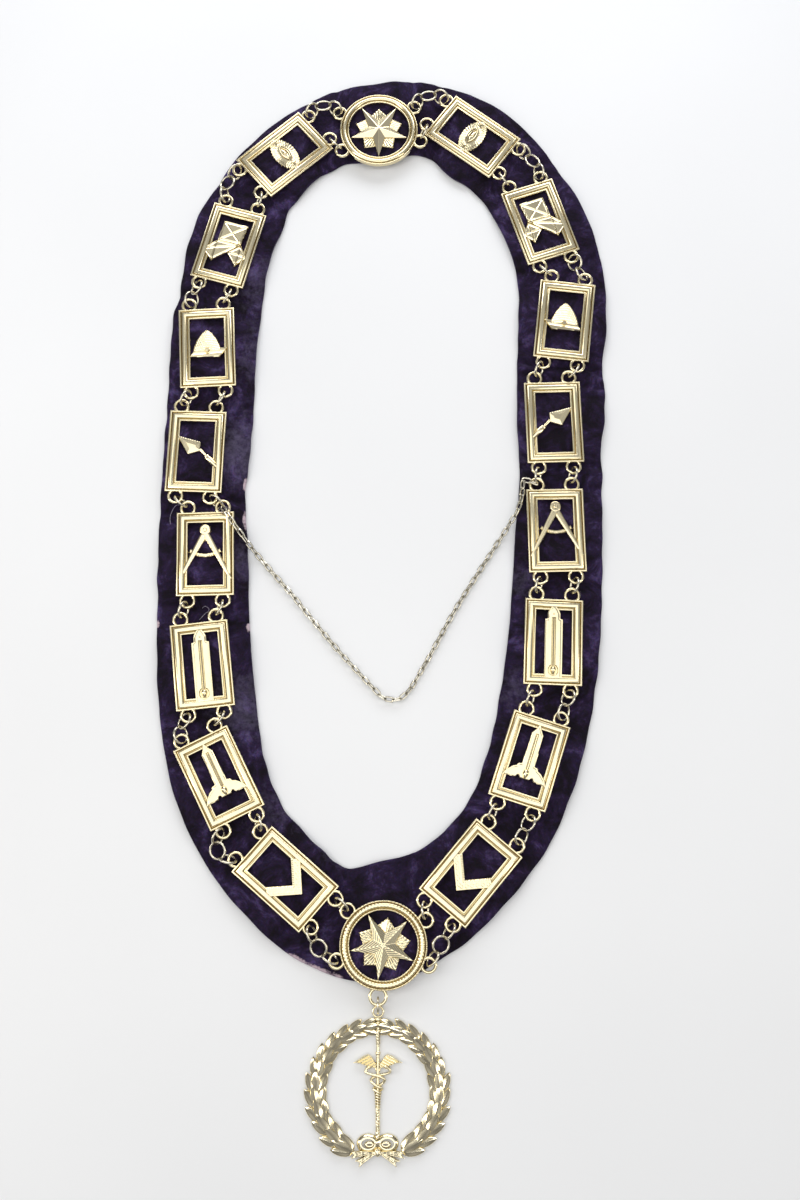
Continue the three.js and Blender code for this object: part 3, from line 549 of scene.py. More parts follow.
def plaque(link):
    """A mitred frame, its moulding carried round a rectangle, with four eyes and an emblem."""
    profile = moulding()
    corners = np.array([(-1, -1), (1, -1), (1, 1), (-1, 1)])
    half = np.array([PLAQUE_WIDTH / 2, PLAQUE_LENGTH / 2])
    points = np.array([[*(corner * (half - across)), up]
                       for across, up in profile for corner in corners])
    bars = (points, [grid_faces(len(profile), len(corners), True, True)])
    aside, ahead = PLAQUE_WIDTH / 2 - EYE_SETBACK, PLAQUE_LENGTH / 2 + EYE_REACH
    eyes = [cast_eye((x * aside, y * ahead), 90 * y) for x in (-1, 1) for y in (-1, 1)]
    emblem = moved(join(EMBLEMS[link["emblem"]]()), mirror=link["name"].startswith("right"))
    return join([bars, *eyes, emblem])


# Medallions

RIM_INSIDE = MEDALLION_DIAMETER / 2 - MEDALLION_BAR


def medallion_rim(milled):
    """The moulding turned round the middle; milled cuts its outer and inner bands with flutes."""
    profile = moulding()
    profile[:, 0] *= MEDALLION_BAR / FRAME_BAR
    around, flutes = 480, 72
    t = np.linspace(0, 2 * np.pi, around, endpoint=False)
    radius = MEDALLION_DIAMETER / 2 - profile[:, 0]
    band = np.exp(-((profile[:, 0] / MEDALLION_BAR - 0.5) / 0.17) ** 4)
    flute = 0.16 * milled * np.cos(flutes * t)[None] * ((1 - band) * (profile[:, 1] > 0.5))[:, None]
    points = np.stack([np.outer(radius, np.cos(t)), np.outer(radius, np.sin(t)),
                       profile[:, 1][:, None] + flute], -1).reshape(-1, 3)
    return points, [grid_faces(len(profile), around, True, True)]


def faceted_star(chased):
    """A five-pointed star, one point down, whose height falls evenly from the middle to the edge
    in every direction, which makes ten flat facets; chased cuts fine lines across them."""
    tip, notch, turn = 1.04 * RIM_INSIDE, 0.37 * RIM_INSIDE, math.radians(36)
    slant = notch * math.cos(turn) - tip
    rim = [polar(tip if i % 2 == 0 else notch, 270 + 36 * i) for i in range(10)]
    low, shoulder, peak = 0.2 * PLAQUE_DEPTH, 0.62 * PLAQUE_DEPTH, 1.42 * PLAQUE_DEPTH

    def facets(x, y, inside):
        folded = np.abs((np.arctan2(y, x) - math.radians(270) + turn) % (2 * turn) - turn)
        reach = tip * notch * math.sin(turn) / (np.cos(folded) * notch * math.sin(turn)
                                                - np.sin(folded) * slant)
        cuts = 0.035 * chased * np.cos(2 * np.pi * (np.hypot(x, y) * np.cos(1.1 - folded)) / 0.8)
        return (peak - shoulder) * (1 - np.hypot(x, y) / reach) + cuts

    return raised(rim, low, shoulder, 0.18, 0.2, facets)


def square_steps():
    """Five square blocks between the star's points, each set corner outwards, with flutes that
    fan out from the middle by a cosine of the angle."""
    reach, half = 0.81 * RIM_INSIDE, 0.31 * RIM_INSIDE
    outline = [(0, reach), (half, reach - half), (0, reach - 2 * half), (-half, reach - half)]

    def flutes(x, y, inside):
        return 0.25 * np.abs(np.cos(24 * np.arctan2(x, y))) - 0.1 * (inside < 0.35)

    block = raised(outline, 0.2 * PLAQUE_DEPTH, 0.4 * PLAQUE_DEPTH, 0.2, 0.2, flutes)
    return [moved(block, turn=72 * i) for i in range(5)]


def medallion(link):
    """A round rim, a star on square rays, and cast eyes; the front one is milled and chased, and
    has a lower eye for the jewel."""
    places = MEDALLION_EYES[link["name"]]
    angles = [places[way][side] - link["turn"]
              for way in ("next", "back") for side in ("outer", "inner")]
    eyes = [cast_eye(polar(MEDALLION_DIAMETER / 2 + EYE_REACH, a), a) for a in angles]
    front = link["name"] == "front_medallion"
    if front:
        away = PENDANT_ANGLE - link["turn"]
        lower = polar(MEDALLION_DIAMETER / 2 + PENDANT_EYE_REACH, away)
        eyes.append(cast_eye(lower, away, PENDANT_EYE_RADIUS))
    return join([medallion_rim(front), faceted_star(front), *square_steps(), *eyes])


# Strings of jump rings

def ring_lean(index, count):
    """How far a ring leans from the flat, in degrees: the ends steep, neighbours a quarter turn
    apart."""
    if count == 1:
        return 68
    if count % 2:
        return 64 - 90 * index
    return 48 - index * (96 + 90 * (count - 2)) / (count - 1)


def string_measures(count):
    """A string's lift above the eyes, its first half chord, its contact and each ring's length."""
    steep = math.radians(ring_lean(0, count))
    lowest = VELVET_SEAM + CLEARANCE + RING_RADIUS * math.sin(steep) + RING_WIRE / 2
    lift = max(0, lowest - EYE_HEIGHT)
    half_chord = math.sqrt(RING_RADIUS ** 2 - (lift / math.sin(steep)) ** 2)
    contact = RING_WIRE * math.cos(math.pi / RING_WIRE_SIDES) - RING_CROSSING
    ends = [(i == 0) + (i == count - 1) for i in range(count)]
    lengths = [e * half_chord + (2 - e) * (RING_RADIUS - contact / 2) for e in ends]
    return lift, half_chord, contact, lengths


def bowed(lengths, bend):
    """Corners of a string whose neighbouring rings each turn by the same angle."""
    corners = [np.zeros(2)]
    for i, length in enumerate(lengths):
        corners.append(corners[i] + polar(length, math.degrees(bend * ((len(lengths) - 1) / 2 - i))))
    return corners


def bend_for(lengths, span):
    """The bend that brings a string's ends to the span, found by halving."""
    low, high = 0, 2 * math.pi / len(lengths)
    for _ in range(40):
        middle = (low + high) / 2
        if bowed(lengths, middle)[-1][0] > span:
            low = middle
        else:
            high = middle
    return low


def ring_string(start, end, count):
    """Rings between two eyes, each a circle of wire leaned about the string's line."""
    run = end - start
    distance = float(np.hypot(*run))
    lift, half_chord, contact, lengths = string_measures(count)
    while sum(lengths) < distance - 2 * RING_PLAY:
        count += 1
        lift, half_chord, contact, lengths = string_measures(count)
    span = min(sum(lengths), distance + 2 * RING_BACK)
    bend = bend_for(lengths, span) if count > 1 else 0
    corners = bowed(lengths, bend)
    whole = corners[-1]
    skew = math.degrees(math.atan2(whole[1], whole[0]))
    rings = []
    for i in range(count):
        heading = math.degrees(bend * ((count - 1) / 2 - i))
        before = half_chord if i == 0 else RING_RADIUS - contact / 2
        middle = corners[i] + polar(before, heading)
        points, faces = torus(RING_RADIUS, RING_WIRE)
        lean = math.radians(ring_lean(i, count))
        points = points @ np.array([[1, 0, 0], [0, math.cos(lean), math.sin(lean)],
                                    [0, -math.sin(lean), math.cos(lean)]])
        ring = moved(moved((points, faces), (*middle, 0), heading), turn=-skew)
        rings.append(moved(ring, ((distance - np.hypot(*whole)) / 2, 0, lift)))
    heading = math.degrees(math.atan2(run[1], run[0]))
    return moved(join(rings), (*start, EYE_HEIGHT), heading)


# The velvet collar

# Puckers in the velvet's edge: which edge, the link and the share of the way to the next, the
# depth as a share of the plaque's width, and the half width as a share of the way
PUCKERS = [
    ("inner", 0, 0.34, 0.07, 0.16), ("inner", 17, 0.66, 0.06, 0.16), ("outer", 3, 0.34, 0.06, 0.2),
    ("outer", 4, 0.18, 0.05, 0.2), ("outer", 15, 0.66, 0.05, 0.2), ("outer", 1, 0.66, 0.05, 0.2),
    ("outer", 16, 0.48, 0.05, 0.1), ("outer", 15, 0.46, 0.05, 0.1), ("inner", 16, 0.56, 0.06, 0.12),
]
# The inner edge by the front medallion, where it runs straight across: link, half and place
FRONT_EDGE = {
    (7, 1): (38.0, -102.5), (8, 0): (24.3, -118.6), (8, 1): (11.8, -126.6),
    (9, 0): (-2.5, -130.1), (9, 1): (-17.3, -133.1), (10, 0): (-28.5, -125.2),
}
# Creases across the pad: link, share of the way to the next, slant, depth and width in millimetres
CREASES = [
    (0, 0.36, 0.02, 0.9, 1.6), (0, 0.62, -0.02, 0.8, 1.5), (1, 0.5, 0.03, 0.8, 1.8),
    (2, 0.45, -0.02, 0.7, 1.6), (3, 0.42, 0.03, 0.9, 1.5), (3, 0.58, -0.01, 0.7, 1.5),
    (4, 0.4, 0.02, 0.9, 1.5), (4, 0.6, -0.03, 0.7, 1.6), (5, 0.5, 0.02, 0.7, 1.6),
    (6, 0.45, -0.02, 0.8, 1.8), (7, 0.5, 0.03, 0.8, 1.6), (8, 0.5, 0.02, 0.7, 1.8),
    (9, 0.5, -0.03, 0.7, 1.8), (10, 0.5, 0.02, 0.8, 1.6), (11, 0.48, -0.02, 0.8, 1.6),
    (12, 0.5, 0.03, 0.7, 1.6), (13, 0.5, -0.02, 0.8, 1.6), (14, 0.45, 0.02, 0.8, 1.6),
    (15, 0.55, -0.03, 0.9, 1.6), (16, 0.5, 0.02, 0.8, 1.6), (17, 0.4, -0.02, 0.8, 1.6),
    (17, 0.66, 0.02, 0.9, 1.5),
]
# How far a crease presses in and how far the pad swells beside it, as shares of its depth
CREASE_PRESS = 1.6
CREASE_SWELL = 0.5
# In millimetres, how far the edges waver, how far the pad's height does, and its small puffs
EDGE_WAVER = 0.2
PAD_WAVER = 0.12
PAD_PUFF = 0.16
# The pad's sections round the loop, and the points of each section
PAD_SECTIONS = 1500
SECTION_POINTS = 44


def closed_curve(points, share):
    """A smooth closed curve through points, by the uniform Catmull-Rom cubic, at shares of the way."""
    points = np.asarray(points, float)
    at = (share % 1) * len(points)
    k = np.floor(at).astype(int)
    t = (at - k)[:, None]
    before, here, after, beyond = [points[(k + d) % len(points)] for d in (-1, 0, 1, 2)]
    return catmull_rom(before, here, after, beyond, t)


def wavering(share, waves, seed):
    """A smooth wavering between about -1 and 1 round the loop: a sum of sines of whole numbers."""
    draw = np.random.default_rng(seed)
    sines = 7
    numbers = draw.integers(waves // 2, waves, sines)
    phases = draw.uniform(0, 2 * np.pi, sines)
    return sum(np.sin(2 * np.pi * n * share + p) for n, p in zip(numbers, phases)) / (sines / 2)


def velvet_edges(share):
    """The velvet's outer and inner edges at shares of the way round."""
    middles = [place(link) for link in LINKS]
    count = len(LINKS)

    def edge(out, first):
        rows = []
        for i, link in enumerate(LINKS):
            for half in (0, 1):
                at = np.array([(i + half / 2) / count])
                run = (closed_curve(middles, at + 1e-4) - closed_curve(middles, at - 1e-4))[0]
                side = np.array([-run[1], run[0]]) / np.hypot(*run)
                reach = link["velvet"][first + 2 * half] * PLAQUE_WIDTH
                rows.append(closed_curve(middles, at)[0] + out * reach * side)
                if out < 0 and (i, half) in FRONT_EDGE:
                    rows[-1] = np.array(FRONT_EDGE[i, half])
        return closed_curve(rows, share)

    outer, inner = edge(1, 0), edge(-1, 1)
    inward = inner - outer
    inward /= np.linalg.norm(inward, axis=1)[:, None]
    for which, link, along, depth, wide in PUCKERS:
        away = (share * count - link - along + count / 2) % count - count / 2
        pull = (depth * PLAQUE_WIDTH * np.exp(-(away / wide) ** 2))[:, None] * inward
        if which == "outer":
            outer = outer + pull
        else:
            inner = inner - pull
    outer = outer + EDGE_WAVER * wavering(share, 70, 3)[:, None] * inward
    inner = inner + EDGE_WAVER * wavering(share, 70, 5)[:, None] * inward
    return outer, inner


def velvet_pad():
    """The padded band: a squared-off oval section carried round between its two edges, thinner at
    the joints, pressed in along creases and puffed between them."""
    share = np.arange(PAD_SECTIONS) / PAD_SECTIONS
    outer, inner = velvet_edges(share)
    count = len(LINKS)
    way = share * count % 1
    full = np.clip((np.abs(way - 0.5) - 0.16) / 0.16, 0, 1)
    full = full * full * (3 - 2 * full)
    height = VELVET_SEAM + full * (VELVET_PAD - VELVET_SEAM) + PAD_WAVER * wavering(share, 40, 7)
    height = height[:, None]
    angle = 2 * np.pi * np.arange(SECTION_POINTS) / SECTION_POINTS
    cosine, sine = np.cos(angle), np.sin(angle)
    across = (0.5 - 0.5 * np.sign(cosine) * np.abs(cosine) ** 0.32)[None]
    seam = 0.42
    bulge = np.abs(sine) ** 0.5
    up = np.where(sine > 0, seam + (1 - seam) * bulge, seam - seam * bulge)[None]
    top = np.clip(sine, 0, 1)[None] ** 0.5
    press = np.zeros((PAD_SECTIONS, SECTION_POINTS))
    for link, along, slant, depth, wide in CREASES:
        at = along + slant * 4 * (across - 0.5) ** 2 + slant * np.sin(7 * across + link)
        away = (share[:, None] * count - link - at + count / 2) % count - count / 2
        away = away * CHAIN_RUN / count
        valley = np.exp(-(away / wide) ** 2) * (0.5 + 0.5 * np.abs(2 * across - 1))
        swell = np.exp(-((np.abs(away) - 2.2 * wide) / wide) ** 2) * (1 - full[:, None])
        press += depth * (CREASE_SWELL * swell - CREASE_PRESS * valley)
    puff = wavering(share[:, None] + 0.004 * np.sin(9 * across), 150, 11)
    z = up * height + top * (press + PAD_PUFF * puff * (1 - 0.5 * full[:, None]))
    z = np.clip(z, np.minimum(0.4, 0.9 * up * height), VELVET_PAD)
    xy = outer[:, None] + across[..., None] * (inner - outer)[:, None]
    points = np.concatenate([xy, z[..., None]], -1).reshape(-1, 3)
    return points, [grid_faces(PAD_SECTIONS, SECTION_POINTS, True, True)]


# The jewel, its middle at the wreath's centre

LEAF_WIDTH = 4.1
LEAF_THICKNESS = 1.5
# The leaf is this much longer than the solid's, whose tips are blunter
LEAF_LONGER = 1.06
# Each leaf of a cluster: its spread in degrees, its size, and its foot's lift and place across
CLUSTER = [(-22, 0.96, -0.1, 0.7), (22, 0.96, -0.02, -0.7), (0, 1.04, 0.34, 0)]
# Each loop of the bow: its half width and half height, its ribbon's breadth and its step inwards
LOOPS = [(3.9, 3.1, 2.5, 0.0), (1.7, 0.9, 1.3, 0.7)]
# Each tail of the bow: its end's reach and drop, and its underside as a share of the jewel's depth
TAILS = [(11.8, 26.2, 0.5), (9.0, 30.0, 0.42)]
# Down the staff, the snakes' height, half turns so far and swing
SNAKE_TURNS = np.array([
    (10.4, 0.3, 3.6), (9.2, 0.38, 5.4), (7.8, 0.5, 5.3), (6.2, 1, 4.4), (4.1, 1.5, 2.9),
    (1.8, 2, 2.3), (0.8, 2.5, 1.9), (-0.5, 3, 1.4), (-1.5, 4, 1.0), (-7.2, 9, 0.85),
])


def laurel_leaf(length, width, thick):
    """A laurel leaf: oval sections, widest before the middle and pointed, with a raised midrib."""
    steps, sides = 14, 16
    u = np.linspace(0, 1, steps)
    half = width / 2 * np.sin(np.pi * u ** 0.85) ** 0.62 + 0.12 * (1 - u)
    angle = 2 * np.pi * np.arange(sides) / sides
    rib = 0.24 * np.exp(-((angle - np.pi / 2) / 0.28) ** 2)
    x = np.repeat(u[:, None] * length, sides, 1)
    y = half[:, None] * np.cos(angle)
    body = thick / 2 * (0.35 + 0.65 * np.sin(np.pi * u) ** 0.5)
    curl = 0.25 * thick * u ** 2
    z = body[:, None] * np.sin(angle) + rib * half[:, None] + curl[:, None]
    points = np.stack([x, y, z], -1).reshape(-1, 3)
    return points, [grid_faces(steps, sides, False, True), *end_faces(steps, sides)]


def wreath():
    """Two stalks along a circle, each with clusters of three leaves from the bow up to the top,
    smaller by the cube of the way."""
    shapes = []
    draw = np.random.default_rng(4)
    clusters, start, stop = 12, 23, 165
    for side in (-1, 1):
        t = np.linspace(6, 170, 50)
        stalk = np.array([[*polar(WREATH_RADIUS, -90 + side * a), JEWEL_MID - 0.35] for a in t])
        shapes.append(tube(stalk, 0.5, 8))
        for i in range(clusters):
            angle = start + (stop - start) * i / (clusters - 1)
            full = 1.0 - 0.24 * (i / (clusters - 1)) ** 3
            for spread, size, lift, aside in CLUSTER:
                foot = polar(WREATH_RADIUS + side * aside, -90 + side * angle)
                heading = -90 + side * angle + side * 97 + spread + draw.uniform(-4, 4)
                length = full * size * LEAF_LENGTH * LEAF_LONGER
                leaf = laurel_leaf(length, LEAF_WIDTH * size * full, LEAF_THICKNESS)
                shapes.append(moved(leaf, (*foot, JEWEL_MID + lift), heading))
    return shapes


def twined_snakes():
    """Two snakes that twine down the staff: a sine whose swing shrinks and whose turns tighten, one
    over the other in turn."""
    heights, half_turns, swings = SNAKE_TURNS.T
    head, tail = heights[0], heights[-1]
    y = np.linspace(head, tail, 220)
    phase = np.pi * np.interp(-y, -heights, half_turns)
    swing = np.interp(-y, -heights, swings)
    brow = 0.3 * np.exp(-((y - head + 0.3) / 0.5) ** 2)
    thick = 0.3 + 0.28 * np.clip((y - tail) / 9, 0, 1) + brow
    shapes = []
    for side in (-1, 1):
        z = JEWEL_MID + 0.2 + side * 0.75 * np.cos(phase)
        shapes.append(tube(np.stack([side * swing * np.sin(phase), y, z], 1), thick, 10))
    return shapes


def winged_staff():
    """A staff with rough bark at its two ends, a ball, a pair of feathered wings and two snakes."""
    y = np.linspace(-0.72 * WREATH_RADIUS, WREATH_RADIUS + 0.2 * LEAF_LENGTH, 200)
    upper = np.clip((y - 0.68 * WREATH_RADIUS) / 1.5, 0, 1)
    lower = np.clip((-0.2 * WREATH_RADIUS - y) / 1.5, 0, 1)
    rough = upper + lower
    bark = 0.1 * STAFF_WIDTH + 0.13 * np.sin(2.9 * y) * np.sin(7.3 * y + 1)
    radius = 0.38 * STAFF_WIDTH + rough * bark
    staff = tube(np.stack([0.14 * rough * np.sin(5.1 * y), y, 0 * y + JEWEL_MID], 1), radius, 12)
    # A wing's outline from its root over the crest to the tip and back, as shares of the radius
    crest = [(0.0, 0.4), (0.05, 0.45), (0.1, 0.53), (0.16, 0.57), (0.24, 0.54), (0.33, 0.48),
             (0.41, 0.43), (0.3, 0.42), (0.22, 0.39), (0.13, 0.36), (0.05, 0.35)]

    def feathers(x, y, inside):
        return 0.26 * np.cos(2 * np.pi * (y + 0.5 * np.abs(x)) / 1.3) + 0.03 * np.abs(x)

    wings = []
    for side in (-1, 1):
        outline = [(side * a * 0.98 * WREATH_RADIUS, b * WREATH_RADIUS) for a, b in crest]
        wings.append(raised(outline, 0.35 * JEWEL_DEPTH, 0.8 * JEWEL_DEPTH, 0.3, 0.18, feathers))
    boss = moved(ball(0.62 * STAFF_WIDTH, (1, 1, 0.85)), (0, 0.58 * WREATH_RADIUS, JEWEL_MID))
    collar = moved(torus(0.5 * STAFF_WIDTH, 0.7, 24, 8), (0, 0.33 * WREATH_RADIUS, JEWEL_MID))
    return [staff, *wings, boss, collar, *twined_snakes()]


def ribbon(path, wide, thick, lean):
    """A flat band along a path: a thin oval section, its broad side leaned by lean radians."""
    path = np.asarray(path, float)
    along = np.gradient(path, axis=0)
    along /= np.linalg.norm(along, axis=1)[:, None]
    out = np.cross([0, 0, 1.0], along)
    out /= np.linalg.norm(out, axis=1)[:, None]
    sides = 12
    angle = 2 * np.pi * np.arange(sides) / sides
    broad = np.cos(lean) * np.array([0, 0, 1.0]) + np.sin(lean) * out
    thin = -np.sin(lean) * np.array([0, 0, 1.0]) + np.cos(lean) * out
    points = (path[:, None] + wide / 2 * np.cos(angle)[None, :, None] * broad[:, None]
              + thick / 2 * np.sin(angle)[None, :, None] * thin[:, None]).reshape(-1, 3)
    return points, [grid_faces(len(path), sides, False, True), *end_faces(len(path), sides)]


def bow():
    """A ribbon bow: two loops, each an oval with a smaller turn inside, a knot, and two forked tails
    a side."""
    shapes = []
    middle = -0.8 * WREATH_RADIUS
    for side in (-1, 1):
        for radius, tall, broad, inward in LOOPS:
            t = np.linspace(0.1, 2 * np.pi - 0.1, 48) + (0 if side > 0 else np.pi)
            x = side * (4.2 - inward) - radius * np.cos(t)
            y = middle - 0.6 * inward - tall * np.sin(t)
            shapes.append(ribbon(np.stack([x, y, 0 * t + JEWEL_MID], 1), broad, 0.8, 0.95))
    knot = -0.93 * WREATH_RADIUS
    shapes.append(moved(ball(1.45, (1, 1.3, 0.85)), (0, knot, JEWEL_MID + 0.2)))
    shapes.append(moved(torus(1.0, 0.6, 24, 8), (0, -0.92 * WREATH_RADIUS, JEWEL_MID + 0.95)))

    def folds(x, y, inside):
        return 0.2 * np.sin(2 * np.pi * np.abs(x) / 3.1) + 0.1 * np.cos(2 * np.pi * inside / 0.9)

    for side in (-1, 1):
        for reach, drop, low in TAILS:
            root = np.array([0.6, knot])
            end = np.array([reach, -drop])
            along = (end - root) / np.hypot(*(end - root))
            across = np.array([-along[1], along[0]])
            half_way = root + 0.5 * (end - root)
            outline = [root + 0.6 * across, half_way + 1.3 * across, end + 1.6 * across,
                       end - 1.6 * along, end - 1.5 * across, half_way - 0.9 * across,
                       root - 0.6 * across]
            outline = [(side * a, b) for a, b in outline]
            under, over = low * JEWEL_DEPTH, (low + 0.42) * JEWEL_DEPTH
            shapes.append(raised(outline, under, over, 0.25, 0.18, folds))
    return shapes


def jewel():
    """The wreath, the staff and the bow, soldered, with a boss and the jewel's own eye above, and
    how far the eye reaches up from the wreath's middle."""
    eye_y = WREATH_RADIUS + 0.4 * LEAF_LENGTH + JEWEL_EYE_RADIUS
    eye_z = JEWEL_RING_WIRE + CLEARANCE + JEWEL_EYE_WIRE / 2
    eye = moved(torus(JEWEL_EYE_RADIUS, JEWEL_EYE_WIRE, 32, 12), (0, eye_y, eye_z))
    boss_y = eye_y - JEWEL_EYE_RADIUS - 0.35 * JEWEL_DEPTH
    boss = moved(ball(0.5 * JEWEL_DEPTH, (1.1, 1, 0.92)), (0, boss_y, JEWEL_MID))
    reach = eye_y + JEWEL_EYE_RADIUS + JEWEL_EYE_WIRE / 2
    return join([*wreath(), *winged_staff(), *bow(), eye, boss]), reach


# The safety chain

# How far its links are rolled from the flat, in degrees, in turn
LINK_ROLLS = (36, 126)


def route_points(spacing):
    """The safety chain's route as evenly spaced points, and the way it heads at each, from a smooth
    curve through its own points."""
    points = np.array(SAFETY_ROUTE, float)
    points[:, :2] += SHIFT
    ends = [[*eye_place(link, facing, "inner"), EYE_HEIGHT + EYE_WIRE] for link, facing in SAFETY_ENDS]
    points = np.vstack([ends[:1], points, ends[1:]])
    padded = np.vstack([2 * points[0] - points[1], points, 2 * points[-1] - points[-2]])
    t = np.linspace(0, 1, 20, endpoint=False)[:, None]
    fine = [catmull_rom(*padded[k - 1:k + 3], t) for k in range(1, len(padded) - 2)]
    fine = np.vstack([*fine, points[-1:]])
    run = np.concatenate([[0], np.cumsum(np.linalg.norm(np.diff(fine, axis=0), axis=1))])
    count = int(round(run[-1] / spacing))
    at = (np.arange(count) + 0.5) * run[-1] / count
    middles = np.stack([np.interp(at, run, fine[:, k]) for k in range(3)], 1)
    ahead = np.stack([np.interp(np.minimum(at + 1, run[-1]), run, fine[:, k]) for k in range(3)], 1)
    behind = np.stack([np.interp(np.maximum(at - 1, 0), run, fine[:, k]) for k in range(3)], 1)
    return middles, ahead - behind


def safety_chain():
    """Oval links, each a wire round a stadium, laid along the route and rolled a quarter in turn."""
    middles, headings = route_points(CHAIN_LINK_LENGTH - 1.75 * CHAIN_WIRE)
    t = np.linspace(0, 2 * np.pi, 26, endpoint=False)
    half_length = (CHAIN_LINK_LENGTH - CHAIN_WIRE) / 2
    half_width = (CHAIN_LINK_WIDTH - CHAIN_WIRE) / 2
    straight = half_length - half_width
    lengthways = half_width * np.cos(t) + straight * np.sign(np.cos(t))
    oval = np.stack([lengthways, half_width * np.sin(t), 0 * t], 1)
    link = tube(oval, CHAIN_WIRE / 2, 8, True)
    draw = np.random.default_rng(8)
    shapes = []
    for i, (middle, heading) in enumerate(zip(middles, headings)):
        along = heading / np.linalg.norm(heading)
        across = np.cross([0, 0, 1.0], along)
        across /= np.linalg.norm(across)
        up = np.cross(along, across)
        roll = math.radians(LINK_ROLLS[i % 2] + draw.uniform(-8, 8))
        side = math.cos(roll) * across + math.sin(roll) * up
        lift = np.cross(along, side)
        shapes.append((link[0] @ np.stack([along, side, lift]) + middle, link[1]))
    return join(shapes)


# Loose ends of sewing thread, with the height over the surface
THREADS = [
    [(-97.6, 35.2, 5.4), (-99.4, 34.8, 5.6), (-101.0, 32.4, 5.2), (-101.9, 29.4, 4.9),
     (-101.6, 26.0, 4.9)],
    [(-75.6, 33.2, 7.0), (-77.6, 31.4, 7.4), (-75.2, 30.2, 7.6), (-73.4, 31.9, 7.4),
     (-75.4, 33.9, 7.0), (-78.6, 32.6, 6.6), (-79.4, 30.0, 6.2), (-77.0, 28.9, 6.2)],
    [(-85.6, -14.2, 3.3), (-84.0, -13.4, 3.9), (-82.4, -15.2, 4.1), (-84.6, -17.4, 3.9),
     (-86.8, -19.8, 3.5)],
    [(-92.6, 101.4, 3.4), (-89.6, 98.6, 3.8), (-84.6, 97.8, 4.0), (-79.4, 99.4, 3.8),
     (-74.8, 102.4, 3.8)],
]


def loose_threads():
    """Thin cotton ends: a wire through each row of points, smoothed by a parabola through threes."""
    shapes = []
    for row in THREADS:
        points = np.array(row)
        t = np.linspace(0, len(points) - 1, 8 * len(points))
        k = np.clip(np.round(t).astype(int), 1, len(points) - 2)
        d = (t - k)[:, None]
        before, here, after = points[k - 1], points[k], points[k + 1]
        path = here + 0.5 * d * (after - before) + 0.5 * d ** 2 * (after - 2 * here + before)
        shapes.append(tube(path, 0.13, 6))
    return join(shapes)


# Materials

def colour(code):
    """A colour of eight-bit hex, turned from sRGB to linear."""
    parts = [int(code[k:k + 2], 16) / 255 for k in (1, 3, 5)]
    return (*[v / 12.92 if v <= 0.04045 else ((v + 0.055) / 1.055) ** 2.4 for v in parts], 1)


def node(tree, kind, inputs=None, stops=None, **settings):
    """Adds a node with its settings, its ramp's stops and its inputs, each a value or a link."""
    made = tree.nodes.new(kind)
    for name, value in settings.items():
        setattr(made, name, value)
    if stops:
        ramp = made.color_ramp
        while len(ramp.elements) < len(stops):
            ramp.elements.new(0.5)
        for element, (position, shade) in zip(ramp.elements, stops):
            element.position = position
            element.color = shade
    for name, value in (inputs or {}).items():
        if isinstance(value, bpy.types.NodeSocket):
            tree.links.new(value, made.inputs[name])
        else:
            made.inputs[name].default_value = value
    return made


def material(name):
    """A new material and its node tree, emptied."""
    made = bpy.data.materials.new(name)
    made.use_nodes = True
    made.node_tree.nodes.clear()
    return made, made.node_tree


# The colour Mix node's sockets go by number, since each name stands for several kinds of value.
# A Math node's two values share a name too, and are 0 and 1.
SHARE, UNDER, OVER, MIXED = 0, 6, 7, 2


def gilt(name, bright, middle, painted_shade, smooth, rough, shade_reach_mm):
    """Gold-plated brass, cast or drawn: lighter on open surfaces and darker in hollows and between
    parts by ambient occlusion, which is painted shade, the skin faintly pitted."""
    made, tree = material(name)
    on_piece = node(tree, "ShaderNodeTexCoord").outputs["Object"]
    # Ambient occlusion darkens hollows and the gaps between parts: painted shade
    occlusion = node(tree, "ShaderNodeAmbientOcclusion", {"Distance": shade_reach_mm * MM},
                  samples=16, only_local=True)
    patches = node(tree, "ShaderNodeTexNoise", {
        "Vector": on_piece, "Scale": 1 / (7 * MM), "Detail": 3.0})
    # The skin's pits are guessed at 0.1 mm or less, too fine to show, so they are drawn at 0.8 mm
    specks = node(tree, "ShaderNodeTexNoise", {
        "Vector": on_piece, "Scale": 1 / (0.8 * MM), "Detail": 4.0})
    wear_and_shade = node(tree, "ShaderNodeMix", {
        SHARE: 0.12, UNDER: occlusion.outputs["Color"], OVER: specks.outputs["Color"]},
        data_type="RGBA", blend_type="OVERLAY")
    # The first stop is the painted shade in hollows, the last the colour of open surfaces
    tone = node(tree, "ShaderNodeValToRGB", {"Fac": wear_and_shade.outputs[MIXED]},
                stops=[(0.2, colour(painted_shade)), (0.55, colour(middle)), (0.92, colour(bright))])
    shade = node(tree, "ShaderNodeMix", {
        SHARE: patches.outputs["Fac"], UNDER: tone.outputs["Color"], OVER: colour(middle)},
        data_type="RGBA")
    dim = node(tree, "ShaderNodeMix", {
        SHARE: 0.45, UNDER: tone.outputs["Color"], OVER: shade.outputs[MIXED]}, data_type="RGBA")
    gloss = node(tree, "ShaderNodeMapRange", {
        "Value": patches.outputs["Fac"], "From Min": 0.3, "From Max": 0.7,
        "To Min": smooth, "To Max": rough})
    bump = node(tree, "ShaderNodeBump", {
        "Height": specks.outputs["Fac"], "Strength": 0.12, "Distance": 0.04 * MM})
    shader = node(tree, "ShaderNodeBsdfPrincipled", {
        "Base Color": dim.outputs[MIXED], "Metallic": 1.0, "Roughness": gloss.outputs["Result"],
        "Normal": bump.outputs["Normal"]})
    node(tree, "ShaderNodeOutputMaterial", {"Surface": shader.outputs["BSDF"]})
    return made


